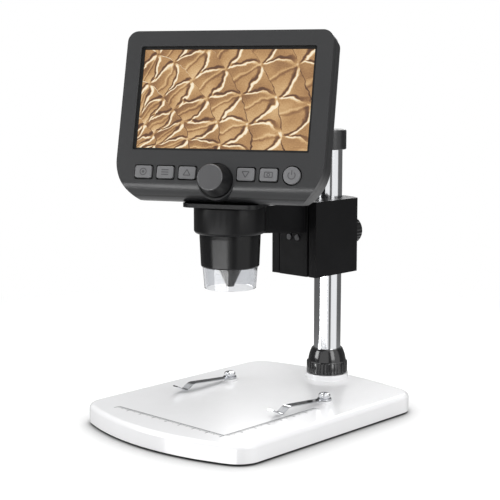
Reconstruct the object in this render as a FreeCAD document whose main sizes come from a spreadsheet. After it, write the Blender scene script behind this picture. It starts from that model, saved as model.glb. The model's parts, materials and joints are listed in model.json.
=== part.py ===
import FreeCAD, Part
import math
import os

import Sketcher

# Desk microscope with a tilted screen. Millimetres, +Z up, +X to the right of the base, +Y to its back.
# The origin is on the floor, under the centre of the box that holds the whole object.
# Three frames carry the pieces: the post frame (post axis), the head frame (lens axis, turned by the
# head's yaw) and the face frame (centre of the screen's glass, leaning back by the face's tilt).

SIZES = {
    # Base
    "base_width": 122.4,
    "base_front_reach": 149.5,
    "base_back_reach": 14.0,
    "base_front_bow": 140.0,
    "base_back_bow": 205.0,
    "base_corner": 14.0,
    "base_top": 11.0,
    "base_edge_round": 2.6,
    "base_roof": 2.6,
    "base_wall": 2.4,
    "foot_drop": 1.2,
    "foot_radius": 6.0,
    "foot_edge": 0.5,
    "foot_inset_x": 16.0,
    "front_foot_y": 118.0,
    "rear_foot_y": 9.0,
    "cover_lift": 0.3,
    "cover_thick": 1.6,
    "cover_gap": 0.2,
    "ballast_thick": 4.0,
    "ballast_gap": 2.0,
    "base_screw_x": 40.0,
    "base_screw_front_y": 98.0,
    "base_screw_rear_y": 20.0,
    "base_screw_radius": 1.4,
    "base_screw_head": 2.6,
    "base_screw_head_high": 1.0,
    "base_screw_boss": 3.5,
    "base_screw_bite": 3.6,
    # Post, its cap and its lock collar
    "post_radius": 8.0,
    "post_edge": 0.6,
    "post_top": 156.0,
    "post_boss_radius": 12.6,
    "post_boss_high": 3.0,
    "post_socket_deep": 3.4,
    "post_bolt_radius": 3.0,
    "post_bolt_head": 6.5,
    "post_bolt_head_high": 3.0,
    "hex_hole_radius": 2.6,
    "post_bolt_bite": 12.0,
    "cap_radius": 10.2,
    "cap_bottom": 147.3,
    "cap_roof": 2.9,
    "cap_edge": 0.4,
    "cap_round": 1.2,
    "collar_skirt_radius": 12.2,
    "collar_skirt_high": 7.2,
    "collar_top_radius": 9.2,
    "collar_high": 14.8,
    "collar_edge": 0.5,
    # Stage clips
    "clip_x": 36.4,
    "clip_y": 46.1,
    "clip_pad_radius": 4.5,
    "clip_pad_high": 1.2,
    "clip_width": 5.0,
    "clip_thick": 0.7,
    "clip_eye_radius": 4.0,
    "clip_bend_reach": 32.0,
    "clip_bend_high": 3.7,
    "clip_toe_reach": 37.7,
    "clip_tip_reach": 44.8,
    "clip_tip_high": 4.2,
    "clip_pin_radius": 1.5,
    "clip_knob_radius": 3.2,
    "clip_knob_high": 3.0,
    "clip_knob_edge": 0.6,
    # Clamp block on the post
    "block_width": 33.2,
    "block_front": 30.8,
    "block_side_back": 6.6,
    "block_back": 12.0,
    "block_bottom": 76.3,
    "block_high": 43.1,
    "liner_wall": 1.5,
    "liner_lip": 1.2,
    "liner_slit": 2.0,
    "clamp_knob_radius": 8.6,
    "clamp_knob_long": 10.3,
    "clamp_knob_roof": 2.0,
    "clamp_screw_radius": 2.5,
    "clamp_screw_tip": 10.0,
    # Dovetail slide
    "slide_half": 10.4,
    "slide_spread": 3.0,
    "slide_neck": 2.7,
    "slide_flank": 5.2,
    "slide_key": 0.7,
    "slide_proud": 0.5,
    "slide_groove": 1.1,
    # Rack and pinion of the slide
    "gear_module": 0.5,
    "pinion_teeth": 16,
    "tooth_height": 0.65,
    "tooth_root": 0.2,
    "pressure_angle": 20.0,
    "pinion_axis_y": 15.8,
    "pinion_wide": 9.0,
    "pinion_shaft": 2.0,
    "pinion_bearing_deep": 6.0,
    "rack_body": 2.6,
    "focus_travel": 12.5,
    "rack_spare": 8.55,
    "focus_knob_radius": 7.0,
    "focus_knob_long": 6.3,
    "focus_knob_roof": 1.4,
    "rack_screw_radius": 1.0,
    "rack_screw_head": 1.7,
    "rack_screw_head_high": 0.9,
    "rack_screw_pitch": 6.0,
    "rack_screw_x": 0.4,
    "rack_screw_rise": 0.6,
    # Arm and ring
    "lens_reach": 83.3,
    "ring_radius": 19.6,
    "ring_high": 14.7,
    "ring_lift": 1.1,
    "ring_edge": 0.4,
    "ring_round": 2.0,
    "ring_liner_wall": 0.63,
    "ring_liner_lift": 0.5,
    "ring_liner_drop": 0.2,
    "arm_width": 18.0,
    "arm_root_high": 17.5,
    "arm_end_high": 14.7,
    "arm_bend_reach": 68.0,
    "arm_screw_x": 6.7,
    "arm_screw_drop": 6.3,
    "arm_screw_radius": 1.25,
    "arm_screw_head": 2.1,
    "arm_screw_head_high": 2.0,
    "arm_screw_bite": 8.0,
    # Head: the yaw turns it about the lens axis, the tilt leans the face back
    "head_yaw": 24.83,
    "face_tilt": 15.42,
    "screen_rise": 57.26,
    "screen_front": 8.74,
    "face_side_band": 9.98,
    "face_top_band": 9.87,
    "head_bottom": 57.2,
    "head_top_corner": 6.0,
    "head_low_corner": 24.0,
    "bezel_proud": 2.0,
    "bezel_wall": 1.5,
    "parting_deep": 8.0,
    "head_deep": 14.0,
    "side_wall": 2.0,
    "rear_wall": 1.8,
    "rear_step": 0.5,
    "roll_start": 44.0,
    "roll_radius": 10.0,
    "window_margin": 1.4,
    "window_corner": 1.0,
    "head_screw_inset": 6.3,
    "head_screw_down": 37.2,
    "head_screw_post": 2.8,
    "head_screw_post_sink": 0.5,
    "head_screw_radius": 1.0,
    "head_screw_tip": 2.5,
    "head_screw_hole_end": 2.0,
    "head_screw_sink": 0.2,
    "head_screw_head": 2.0,
    "head_screw_head_high": 1.4,
    # Neck housing behind and below the head
    "neck_width": 42.0,
    "neck_front": 20.6,
    "neck_back": 21.0,
    "neck_gap": 0.5,
    "neck_wall": 2.0,
    "neck_shoulder_rise": 27.5,
    "neck_top_rise": 45.5,
    "neck_corner": 6.0,
    # Electronics
    "screen_width": 95.04,
    "screen_height": 53.86,
    "panel_border_side": 5.23,
    "panel_border_end": 6.67,
    "panel_thick": 2.9,
    "board_thick": 1.2,
    "board_gap": 0.3,
    "board_inset": 2.3,
    "board_right": 40.0,
    "board_up": 28.0,
    "board_down": 31.0,
    "battery_width": 50.0,
    "battery_height": 34.0,
    "battery_thick": 5.0,
    "battery_lift": 8.0,
    "socket_width": 9.0,
    "socket_thick": 3.2,
    "socket_deep": 7.4,
    "socket_up": 10.0,
    "socket_setback": 0.4,
    "socket_wall": 0.4,
    "socket_floor": 1.0,
    "tongue_side": 1.4,
    "tongue_level": 1.2,
    "card_width": 14.0,
    "card_thick": 1.8,
    "card_deep": 14.0,
    "card_up": 12.0,
    "card_wall": 0.4,
    "card_side": 1.0,
    "camera_board_rise": 24.5,
    "camera_board_front": 6.0,
    "sensor_size": 9.0,
    "sensor_thick": 1.6,
    # Buttons
    "button_width": 9.3,
    "button_height": 6.5,
    "button_corner": 1.1,
    "button_gap": 0.7,
    "button_proud": 1.0,
    "button_travel": 0.6,
    "button_flange": 0.8,
    "button_flange_margin": 1.0,
    "plunger_radius": 1.5,
    "button_down": 40.3,
    "button_first": 16.2,
    "button_pitch": 12.4,
    "power_radius": 4.55,
    "switch_high": 1.3,
    "switch_size": 4.5,
    "key_board_half": 47.5,
    "key_board_up": 31.5,
    "key_board_down": 46.0,
    # Front wheel and the lens it moves
    "wheel_face_radius": 6.3,
    "wheel_shoulder_radius": 7.3,
    "wheel_edge": 1.0,
    "wheel_skirt": 1.2,
    "wheel_roof": 3.0,
    "wheel_base_radius": 8.9,
    "wheel_long": 11.0,
    "wheel_boss_radius": 10.2,
    "wheel_recess_radius": 9.5,
    "wheel_recess": 1.2,
    "wheel_shaft": 1.5,
    "wheel_bush": 3.0,
    "wheel_bush_long": 5.5,
    "lens_gear_module": 0.35,
    "lens_gear_teeth": 12,
    "lens_gear_near": 8.3,
    "lens_gear_far": 10.9,
    "lens_rack_step": 0.2,
    "lens_rack_reach": 4.0,
    "lens_rack_spare": 1.5,
    "lens_rack_body": 2.4,
    "lens_travel": 2.8,
    "carrier_radius": 9.0,
    "carrier_bore": 6.5,
    "carrier_drop": 19.5,
    "carrier_rise": 18.5,
    "guide_drop": 17.5,
    "guide_top_drop": 3.5,
    "glass_thick": 3.0,
    "glass_bevel": 1.0,
    "glass_crown": 0.8,
    # Barrel, lights and clear cover
    "barrel_radius": 16.6,
    "barrel_low_radius": 15.9,
    "barrel_taper_drop": 16.8,
    "barrel_drop": 32.9,
    "barrel_edge": 0.5,
    "barrel_edge_high": 0.7,
    "barrel_bore": 14.2,
    "light_board_drop": 30.5,
    "light_radius": 1.5,
    "light_long": 3.0,
    "light_circle": 9.6,
    "light_count": 8,
    "nose_top_radius": 7.7,
    "nose_tip_radius": 2.0,
    "nose_tip_drop": 43.9,
    "nose_collar": 1.0,
    "nose_wall": 1.4,
    "nose_bore": 1.2,
    "clear_top_radius": 15.0,
    "clear_low_radius": 14.0,
    "clear_drop": 44.6,
    "clear_wall": 1.2,
    "clear_tuck": 3.0,
    # Clearances
    "run_gap": 0.05,
    "clear_gap": 0.3,
    "slide_gap": 0.1,
    "gear_play": 0.05,
    "seat_gap": 0.02,
    "over": 1.0,
}


class Size:
    """A length or an angle, held as its value and as the expression that ties a property to the sheet."""

    def __init__(self, text, value):
        self.text = text
        self.value = value

    def join(self, other, sign, value):
        return Size(f"({self.text} {sign} {as_size(other).text})", value)

    def __add__(self, other):
        return self.join(other, "+", self.value + as_size(other).value)

    def __sub__(self, other):
        return self.join(other, "-", self.value - as_size(other).value)

    def __mul__(self, other):
        return self.join(other, "*", self.value * as_size(other).value)

    def __truediv__(self, other):
        return self.join(other, "/", self.value / as_size(other).value)

    def __neg__(self):
        return Size(f"(0 - {self.text})", -self.value)

    def __radd__(self, other):
        return as_size(other) + self

    def __rsub__(self, other):
        return as_size(other) - self

    def __rmul__(self, other):
        return as_size(other) * self


def as_size(value):
    return value if isinstance(value, Size) else Size(repr(value), value)


def root(size):
    return Size(f"sqrt({size.text})", math.sqrt(size.value))


def sine(angle):
    return Size(f"sin({angle.text} * 1 deg)", math.sin(math.radians(angle.value)))


def cosine(angle):
    return Size(f"cos({angle.text} * 1 deg)", math.cos(math.radians(angle.value)))


class Sheet:
    """The driving dimensions, one to a row, each read back as a Size."""

    def __init__(self, sizes):
        sheet = doc.addObject("Spreadsheet::Sheet", "Sizes")
        for row, (alias, value) in enumerate(sizes.items(), start=1):
            sheet.set(f"A{row}", alias)
            sheet.set(f"B{row}", str(value))
            sheet.setAlias(f"B{row}", alias)
            setattr(self, alias, Size(f"Sizes.{alias}", float(value)))


doc = FreeCAD.newDocument("Microscope")
S = Sheet(SIZES)
doc.recompute()

# Heights that hang on the block's top, and widths that hang on the screen
block_top = S.block_bottom + S.block_high
block_middle = S.block_bottom + S.block_high / 2
ring_top = block_top + S.ring_lift
ring_bottom = ring_top - S.ring_high
ring_bore = S.barrel_radius + S.run_gap + S.ring_liner_wall + S.seat_gap
arm_root_bottom = block_top - S.arm_root_high
arm_end_bottom = block_top - S.arm_end_high
screen_high = ring_top + S.screen_rise
neck_shoulder = ring_top + S.neck_shoulder_rise
neck_top = ring_top + S.neck_top_rise
carrier_bottom = ring_top - S.carrier_drop
guide_top = ring_top - S.guide_top_drop
barrel_bottom = ring_top - S.barrel_drop
head_width = S.screen_width + S.face_side_band * 2
head_top = S.screen_height / 2 + S.face_top_band
head_screw_x = head_width / 2 - S.head_screw_inset

# Frames
post_y = (S.base_front_reach - S.block_back - S.clear_gap - S.clamp_knob_long) / 2
tilt_sine = sine(S.face_tilt)
tilt_cosine = cosine(S.face_tilt)
FRAMES = {
    "post": ((0.0, post_y, 0.0), FreeCAD.Rotation()),
    "head": ((0.0, post_y - S.lens_reach, 0.0), FreeCAD.Rotation(FreeCAD.Vector(0, 0, 1), S.head_yaw.value)),
    "face": (
        (
            S.screen_front * sine(S.head_yaw),
            post_y - S.lens_reach - S.screen_front * cosine(S.head_yaw),
            screen_high,
        ),
        FreeCAD.Rotation(FreeCAD.Vector(0, 0, 1), S.head_yaw.value)
        * FreeCAD.Rotation(FreeCAD.Vector(1, 0, 0), -S.face_tilt.value),
    ),
}
TURN = {
    "z": FreeCAD.Rotation(),
    "x": FreeCAD.Rotation(FreeCAD.Vector(0, 1, 0), 90),
    "y": FreeCAD.Rotation(FreeCAD.Vector(1, 0, 0), -90),
}
PLANES = {"xy": "XY_Plane", "xz": "XZ_Plane", "yz": "YZ_Plane"}
sub_parts = {}


def tie(item, name, size):
    item.setExpression(name, as_size(size).text)


def put(item, x=0.0, y=0.0, z=0.0, rotation=None):
    """Moves an item inside its own sub-part's frame."""
    item.Placement = FreeCAD.Placement(FreeCAD.Vector(), rotation or FreeCAD.Rotation())
    for name, size in (("x", x), ("y", y), ("z", z)):
        tie(item, f"Placement.Base.{name}", size)
    return item


def box(x, y, z):
    """A box between two limits along each axis."""
    item = doc.addObject("Part::Box", "Box")
    for name, (low, high) in (("Length", x), ("Width", y), ("Height", z)):
        tie(item, name, high - low if isinstance(high, Size) else as_size(high) - low)
    return put(item, x[0], y[0], z[0])


def rod(radius, start, end, x=0.0, y=0.0, z=0.0, axis="z"):
    """A cylinder along an axis, between two places on it."""
    item = doc.addObject("Part::Cylinder", "Rod")
    tie(item, "Radius", radius)
    tie(item, "Height", as_size(end) - start)
    place = {"x": x, "y": y, "z": z}
    place[axis] = start
    return put(item, place["x"], place["y"], place["z"], TURN[axis])


def fuse(*items):
    item = doc.addObject("Part::MultiFuse", "Fuse")
    item.Shapes = list(items)
    return item


def cut(base, *tools):
    item = doc.addObject("Part::Cut", "Cut")
    item.Base = base
    item.Tool = tools[0] if len(tools) == 1 else fuse(*tools)
    return item


def common(first, second):
    item = doc.addObject("Part::Common", "Common")
    item.Base = first
    item.Tool = second
    return item


def group(*items):
    """Like pieces kept as separate solids of one sub-part."""
    item = doc.addObject("Part::Compound", "Group")
    item.Links = list(items)
    return item


def whole(item):
    """A bare primitive keeps its own place when it becomes the one member of a group."""
    return group(item) if item.TypeId in ("Part::Box", "Part::Cylinder") else item


def sketch_on(body, plane, offset, corners):
    """A closed sketch through the corners. A corner with a third value is reached by an arc of that radius,
    whose centre is to the left of the way there, or to the right for a radius given as a negative."""
    item = body.newObject("Sketcher::SketchObject", "Sketch")
    support = next(part for part in body.Origin.OriginFeatures if part.Role == PLANES[plane])
    item.AttachmentSupport = [(support, "")]
    item.MapMode = "FlatFace"
    tie(item, "AttachmentOffset.Base.z", offset)
    count = len(corners)
    values = [FreeCAD.Vector(as_size(c[0]).value, as_size(c[1]).value, 0) for c in corners]
    arcs = []
    for index in range(count):
        start = values[index]
        end = values[(index + 1) % count]
        target = corners[(index + 1) % count]
        if len(target) == 2:
            item.addGeometry(Part.LineSegment(start, end), False)
            continue
        radius = target[2]
        half = (end - start).Length / 2
        along = (end - start).normalize()
        left = FreeCAD.Vector(-along.y, along.x, 0)
        side = 1 if radius.value > 0 else -1
        rise = abs(radius.value) - math.sqrt(radius.value ** 2 - half ** 2)
        middle = (start + end) * 0.5 - left * (side * rise)
        item.addGeometry(Part.Arc(start, middle, end), False)
        arcs.append((index, radius, side))
    ends = {}
    for index, radius, side in arcs:
        # An arc's own start and end run anticlockwise, so a clockwise arc is joined the other way round.
        ends[index] = (1, 2) if side > 0 else (2, 1)
    for index in range(count):
        here = ends.get(index, (1, 2))
        after = ends.get((index + 1) % count, (1, 2))
        item.addConstraint(Sketcher.Constraint("Coincident", index, here[1], (index + 1) % count, after[0]))
    for index, corner in enumerate(corners):
        point = ends.get(index, (1, 2))[0]
        for kind, size, axis in (("DistanceX", corner[0], -2), ("DistanceY", corner[1], -1)):
            size = as_size(size)
            if size.text == "0.0":
                item.addConstraint(Sketcher.Constraint("PointOnObject", index, point, axis))
                continue
            number = item.addConstraint(Sketcher.Constraint(kind, -1, 1, index, point, size.value))
            item.setExpression(f"Constraints[{number}]", size.text)
    for index, radius, side in arcs:
        number = item.addConstraint(Sketcher.Constraint("Radius", index, abs(radius.value)))
        item.setExpression(f"Constraints[{number}]", radius.text if side > 0 else (-radius).text)
    return item


def padded(plane, corners, start, end):
    """A body whose outline is padded square to its plane, between two places along the plane's axis."""
    body = doc.addObject("PartDesign::Body", "Body")
    # The normal of the XZ plane points along -Y, so its pads run the other way.
    backward = plane == "xz"
    sketch = sketch_on(body, plane, -as_size(start) if backward else start, corners)
    pad = body.newObject("PartDesign::Pad", "Pad")
    pad.Profile = sketch
    pad.Reversed = backward
    tie(pad, "Length", as_size(end) - start)
    body.Tip = pad
    doc.recompute()
    return body


def turned(profile):
    """A body turned about its own Z axis from a profile of radius and height."""
    body = doc.addObject("PartDesign::Body", "Body")
    sketch = sketch_on(body, "xz", 0.0, profile)
    turn = body.newObject("PartDesign::Revolution", "Revolution")
    turn.Profile = sketch
    turn.ReferenceAxis = (sketch, ["V_Axis"])
    turn.Angle = 360
    body.Tip = turn
    doc.recompute()
    return body


def rounded(body, radius, chosen):
    """Rounds the edges of a body's last feature that a test chooses."""
    base = body.Tip
    names = [f"Edge{n}" for n, edge in enumerate(base.Shape.Edges, start=1) if chosen(edge)]
    fillet = body.newObject("PartDesign::Fillet", "Fillet")
    fillet.Base = (base, names)
    tie(fillet, "Radius", radius)
    body.Tip = fillet
    doc.recompute()
    return body


def along(axis):
    """Chooses straight edges that run along an axis."""

    def chosen(edge):
        ends = [vertex.Point for vertex in edge.Vertexes]
        if len(ends) < 2:
            return False
        way = ends[1] - ends[0]
        return way.Length > 0 and abs(abs(way.normalize().dot(axis)) - 1) < 1e-6

    return chosen


def both(*tests):
    return lambda edge: all(test(edge) for test in tests)


def at_level(axis, level):
    """Chooses edges that lie at one level along an axis."""
    return lambda edge: all(abs(vertex.Point.dot(axis) - level.value) < 1e-5 for vertex in edge.Vertexes)


X_AXIS = FreeCAD.Vector(1, 0, 0)
Y_AXIS = FreeCAD.Vector(0, 1, 0)
Z_AXIS = FreeCAD.Vector(0, 0, 1)


def below(limit):
    return lambda edge: edge.CenterOfMass.z < limit


def above(limit):
    return lambda edge: edge.CenterOfMass.z > limit


def sub_part(name, item, frame, x=0.0, y=0.0):
    """Names a finished sub-part and sets it in its frame, at x and y from the frame's axis."""
    base, rotation = FRAMES[frame]
    item = whole(item)
    item.Label = name
    item.Placement = FreeCAD.Placement(FreeCAD.Vector(), rotation)
    for axis, size in zip("xyz", (as_size(base[0]) + x, as_size(base[1]) + y, as_size(base[2]))):
        tie(item, f"Placement.Base.{axis}", size)
    sub_parts[name] = item


def rectangle(left, right, low, high):
    return [(left, low), (right, low), (right, high), (left, high)]


# Base: a bowed shell over a steel plate, closed below by a cover on four feet
base_rim = S.foot_drop
cover_low = S.foot_drop + S.cover_lift
cover_high = cover_low + S.cover_thick
roof_under = S.base_top - S.base_roof
post_boss_top = S.base_top + S.post_boss_high
post_low = post_boss_top - S.post_socket_deep
clip_pad_top = S.base_top + S.clip_pad_high


def base_outline(inset):
    """The base's plan, inset all round: straight sides, and a bow at the front and the back."""
    half = S.base_width / 2 - inset
    front_bow = S.base_front_bow - inset
    back_bow = S.base_back_bow - inset
    front = -(S.base_front_reach - S.base_front_bow + root(front_bow * front_bow - half * half))
    back = S.base_back_reach - S.base_back_bow + root(back_bow * back_bow - half * half)
    return [(-half, front), (half, front, front_bow), (half, back), (-half, back, back_bow)]


def base_form(inset, low, high):
    form = padded("xy", base_outline(inset), low, high)
    return rounded(form, S.base_corner - inset, along(Z_AXIS))


def at_base_screws(make):
    return [
        make(side * S.base_screw_x, -y)
        for side in (-1, 1)
        for y in (S.base_screw_front_y, S.base_screw_rear_y)
    ]


def make_base():
    outer = base_form(as_size(0.0), base_rim, S.base_top)
    outer = rounded(outer, S.base_edge_round, at_level(Z_AXIS, S.base_top))
    cavity = base_form(S.base_wall, base_rim - S.clear_gap, roof_under)
    clips = [(side * S.clip_x, -S.clip_y) for side in (-1, 1)]
    boss_top = S.base_top - S.base_roof / 2
    bosses = at_base_screws(lambda x, y: rod(S.base_screw_boss, cover_high, boss_top, x, y))
    pads = [rod(S.clip_pad_radius, roof_under, clip_pad_top, x, y) for x, y in clips]
    post_boss = rod(S.post_boss_radius, roof_under, post_boss_top)
    shell = fuse(cut(outer, cavity), post_boss, *bosses, *pads)
    socket = rod(S.post_radius + S.seat_gap, post_low, post_boss_top + S.over)
    bolt_hole = rod(S.post_bolt_radius + S.run_gap, 0.0, post_boss_top)
    screw_top = cover_high + S.base_screw_bite + S.clear_gap
    pilots = at_base_screws(lambda x, y: rod(S.base_screw_radius + S.seat_gap, 0.0, screw_top, x, y))
    clip_holes = [rod(S.clip_pin_radius + S.run_gap, 0.0, clip_pad_top + S.over, x, y) for x, y in clips]
    sub_part("base_shell", cut(shell, socket, bolt_hole, *pilots, *clip_holes), "post")

    cover = base_form(S.base_wall + S.cover_gap, cover_low, cover_high)
    holes = at_base_screws(lambda x, y: rod(S.base_screw_radius + S.run_gap, 0.0, cover_high + S.over, x, y))
    sub_part("base_cover", cut(cover, *holes), "post")

    plate = base_form(S.base_wall + S.ballast_gap, cover_high, cover_high + S.ballast_thick)
    ways = at_base_screws(lambda x, y: rod(S.base_screw_boss + S.clear_gap, 0.0, roof_under, x, y))
    bolt_way = rod(S.post_bolt_head + S.clear_gap * 2, 0.0, roof_under)
    sub_part("ballast_plate", cut(plate, bolt_way, *ways), "post")

    for row, y in (("front", S.front_foot_y), ("rear", S.rear_foot_y)):
        for side, sign in (("left", -1), ("right", 1)):
            foot = turned([
                (0.0, 0.0),
                (S.foot_radius - S.foot_edge, 0.0),
                (S.foot_radius, S.foot_edge),
                (S.foot_radius, cover_low),
                (0.0, cover_low),
            ])
            x = sign * (S.base_width / 2 - S.foot_inset_x)
            sub_part(f"foot_{row}_{side}", foot, "post", x, -y)

    def screw(x, y):
        head = rod(S.base_screw_head, cover_low - S.base_screw_head_high, cover_low, x, y)
        return fuse(head, rod(S.base_screw_radius, cover_low, cover_high + S.base_screw_bite, x, y))

    sub_part("base_screws", group(*at_base_screws(screw)), "post")


def make_post():
    bolt_end = post_low + S.post_bolt_bite
    bar = turned([
        (0.0, post_low),
        (S.post_radius - S.post_edge, post_low),
        (S.post_radius, post_low + S.post_edge),
        (S.post_radius, S.post_top - S.post_edge),
        (S.post_radius - S.post_edge, S.post_top),
        (0.0, S.post_top),
    ])
    bolt_hole = rod(S.post_bolt_radius + S.seat_gap, 0.0, bolt_end + S.clear_gap)
    sub_part("post_rod", cut(bar, bolt_hole), "post")
    head = rod(S.post_bolt_head, roof_under - S.post_bolt_head_high, roof_under)
    hex_hole = rod(S.hex_hole_radius, 0.0, roof_under - S.post_bolt_head_high / 2)
    shank = rod(S.post_bolt_radius, roof_under, bolt_end)
    sub_part("post_bolt", cut(fuse(head, shank), hex_hole), "post")

    cap_top = S.post_top + S.cap_roof
    socket = S.post_radius + S.seat_gap
    cap = turned([
        (0.0, S.post_top),
        (socket, S.post_top),
        (socket, S.cap_bottom),
        (S.cap_radius - S.cap_edge, S.cap_bottom),
        (S.cap_radius, S.cap_bottom + S.cap_edge),
        (S.cap_radius, cap_top - S.cap_round),
        (S.cap_radius - S.cap_round, cap_top, S.cap_round),
        (0.0, cap_top),
    ])
    sub_part("post_cap", cap, "post")

    low = post_boss_top + S.clear_gap
    bore = S.post_radius + S.run_gap
    collar = turned([
        (bore, low),
        (S.collar_skirt_radius - S.collar_edge, low),
        (S.collar_skirt_radius, low + S.collar_edge),
        (S.collar_skirt_radius, low + S.collar_skirt_high - S.collar_edge),
        (S.collar_skirt_radius - S.collar_edge, low + S.collar_skirt_high),
        (S.collar_top_radius, low + S.collar_high),
        (bore, low + S.collar_high),
    ])
    sub_part("lock_collar", collar, "post")


def make_clip(side, sign):
    """A spring strip that swings on a pin: up to a bend, down to a toe, and up again to a lifted tip."""
    eye = clip_pad_top + S.clear_gap
    bend = S.base_top + S.clip_bend_high
    toe = S.base_top + S.clear_gap
    tip = S.base_top + S.clip_tip_high
    thick = S.clip_thick
    flat = S.clip_eye_radius
    strip = padded("yz", [
        (0.0, eye),
        (0.0, eye + thick),
        (-flat, eye + thick),
        (-S.clip_bend_reach, bend + thick),
        (-S.clip_toe_reach, toe + thick * 2),
        (-S.clip_tip_reach, tip + thick),
        (-S.clip_tip_reach, tip),
        (-S.clip_toe_reach, toe),
        (-S.clip_bend_reach + thick, bend),
        (-flat, eye),
    ], -S.clip_width / 2, S.clip_width / 2)
    disc = rod(S.clip_eye_radius, eye, eye + thick)
    hole = rod(S.clip_pin_radius + S.seat_gap, eye - S.over, eye + thick + S.over)
    x = sign * S.clip_x
    sub_part(f"{side}_clip_spring", cut(fuse(strip, disc), hole), "post", x, -S.clip_y)
    knob_low = eye + thick
    pin = turned([
        (0.0, roof_under),
        (S.clip_pin_radius, roof_under),
        (S.clip_pin_radius, knob_low),
        (S.clip_knob_radius, knob_low),
        (S.clip_knob_radius, knob_low + S.clip_knob_high - S.clip_knob_edge),
        (S.clip_knob_radius - S.clip_knob_edge, knob_low + S.clip_knob_high),
        (0.0, knob_low + S.clip_knob_high),
    ])
    sub_part(f"{side}_clip_pin", pin, "post", x, -S.clip_y)


# Clamp block: a liner that slides on the post, and the block that turns on the liner
liner_radius = S.post_radius + S.run_gap + S.liner_wall
slide_front = S.block_front + S.slide_proud
slide_back = S.block_front - S.slide_neck - S.slide_flank - S.slide_key
channel_back = slide_back - S.clear_gap
pinion_radius = S.gear_module * S.pinion_teeth / 2
rack_pitch_y = S.pinion_axis_y + pinion_radius
rack_back = rack_pitch_y + S.gear_module + S.rack_body


def make_liner():
    low = S.block_bottom + S.liner_lip + S.clear_gap
    high = block_top - S.liner_lip - S.clear_gap
    sleeve = rod(liner_radius, low, high)
    bore = rod(S.post_radius + S.run_gap, low - S.over, high + S.over)
    slit = box((-S.liner_slit / 2, S.liner_slit / 2), (-liner_radius - S.over, as_size(0.0)),
               (low - S.over, high + S.over))
    sub_part("post_liner", cut(sleeve, bore, slit), "post")


def make_block():
    half = S.block_width / 2
    bulge = S.block_back - S.block_side_back
    back_round = (half * half + bulge * bulge) / (bulge * 2)
    mouth = S.slide_half + S.slide_groove - S.slide_gap
    slope = S.slide_spread / S.slide_flank
    # The channel's flanks run parallel to the slide's, one sliding gap away.
    shift = S.slide_gap * root(slope * slope + 1)
    neck_y = S.block_front - S.slide_neck
    hook_y = neck_y - (mouth - S.slide_half - shift) / slope
    floor_half = S.slide_half + S.slide_spread + shift
    deep_y = neck_y - S.slide_flank
    form = padded("xy", [
        (-half, -S.block_front),
        (-mouth, -S.block_front),
        (-mouth, -hook_y),
        (-floor_half, -deep_y),
        (-floor_half, -channel_back),
        (floor_half, -channel_back),
        (floor_half, -deep_y),
        (mouth, -hook_y),
        (mouth, -S.block_front),
        (half, -S.block_front),
        (half, S.block_side_back),
        (-half, S.block_side_back, back_round),
    ], S.block_bottom, block_top)
    groove_half = S.pinion_wide / 2 + S.clear_gap * 2
    rack_tip = rack_pitch_y - S.gear_module * S.tooth_height
    groove = box((-groove_half, groove_half), (-channel_back - S.over, S.clear_gap * 2 - rack_tip),
                 (S.block_bottom - S.over, block_top + S.over))
    pocket_radius = pinion_radius + S.gear_module * S.tooth_height + S.clear_gap
    inner = S.pinion_wide / 2 + S.clear_gap
    pocket = rod(pocket_radius, -half - S.over, inner, y=-S.pinion_axis_y, z=block_middle, axis="x")
    bearing = rod(S.pinion_shaft + S.run_gap, as_size(0.0), inner + S.pinion_bearing_deep,
                  y=-S.pinion_axis_y, z=block_middle, axis="x")
    bore = rod(liner_radius + S.run_gap, S.block_bottom + S.liner_lip, block_top - S.liner_lip)
    way = rod(S.post_radius + S.run_gap + S.clear_gap, S.block_bottom - S.over, block_top + S.over)
    screw_way = rod(S.clamp_screw_radius + S.run_gap, as_size(0.0), S.block_back + S.over, z=block_middle,
                    axis="y")
    sub_part("stage_block", cut(form, groove, pocket, bearing, bore, way, screw_way), "post")

    bush = rod(pocket_radius - S.seat_gap, -half, -inner, y=-S.pinion_axis_y, z=block_middle, axis="x")
    shaft_way = rod(S.pinion_shaft + S.run_gap, -half - S.over, inner, y=-S.pinion_axis_y, z=block_middle,
                    axis="x")
    sub_part("pinion_bush", cut(bush, shaft_way), "post")

    knob_near = S.block_back + S.clear_gap
    knob_far = knob_near + S.clamp_knob_long
    knob = rod(S.clamp_knob_radius, knob_near, knob_far, z=block_middle, axis="y")
    screw_end = knob_far - S.clamp_knob_roof
    seat = rod(S.clamp_screw_radius + S.seat_gap, knob_near - S.over, screw_end, z=block_middle, axis="y")
    sub_part("clamp_knob", cut(knob, seat), "post")
    screw = rod(S.clamp_screw_radius, S.clamp_screw_tip, screw_end - S.clear_gap, z=block_middle, axis="y")
    sub_part("clamp_screw", screw, "post")


def gear_points(module, teeth, play):
    """Corners of an involute gear with 20 degree flanks, one tooth centred on the first axis."""
    pressure = math.radians(S.pressure_angle.value)
    tooth_height = S.tooth_height.value
    pitch = module * teeth / 2
    base = pitch * math.cos(pressure)
    outer = pitch + module * tooth_height
    inner = pitch - module * (tooth_height + S.tooth_root.value)
    half_angle = math.pi / 2 / teeth - play / 2 / pitch + math.tan(pressure) - pressure

    def flank(radius):
        roll = math.sqrt(max(radius * radius / base / base - 1, 0.0))
        return half_angle - (roll - math.atan(roll))

    start = max(base, inner)
    radii = [start + (outer - start) * step / 4 for step in range(5)]
    side = [(inner, flank(start))] if inner < base else []
    side += [(radius, flank(radius)) for radius in radii]
    tooth = [(radius, -angle) for radius, angle in side]
    tooth += [(radius, angle) for radius, angle in reversed(side)]
    points = []
    for number in range(teeth):
        turn = 2 * math.pi * number / teeth
        points += [(radius * math.cos(turn + a), radius * math.sin(turn + a)) for radius, a in tooth]
    return points


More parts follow.
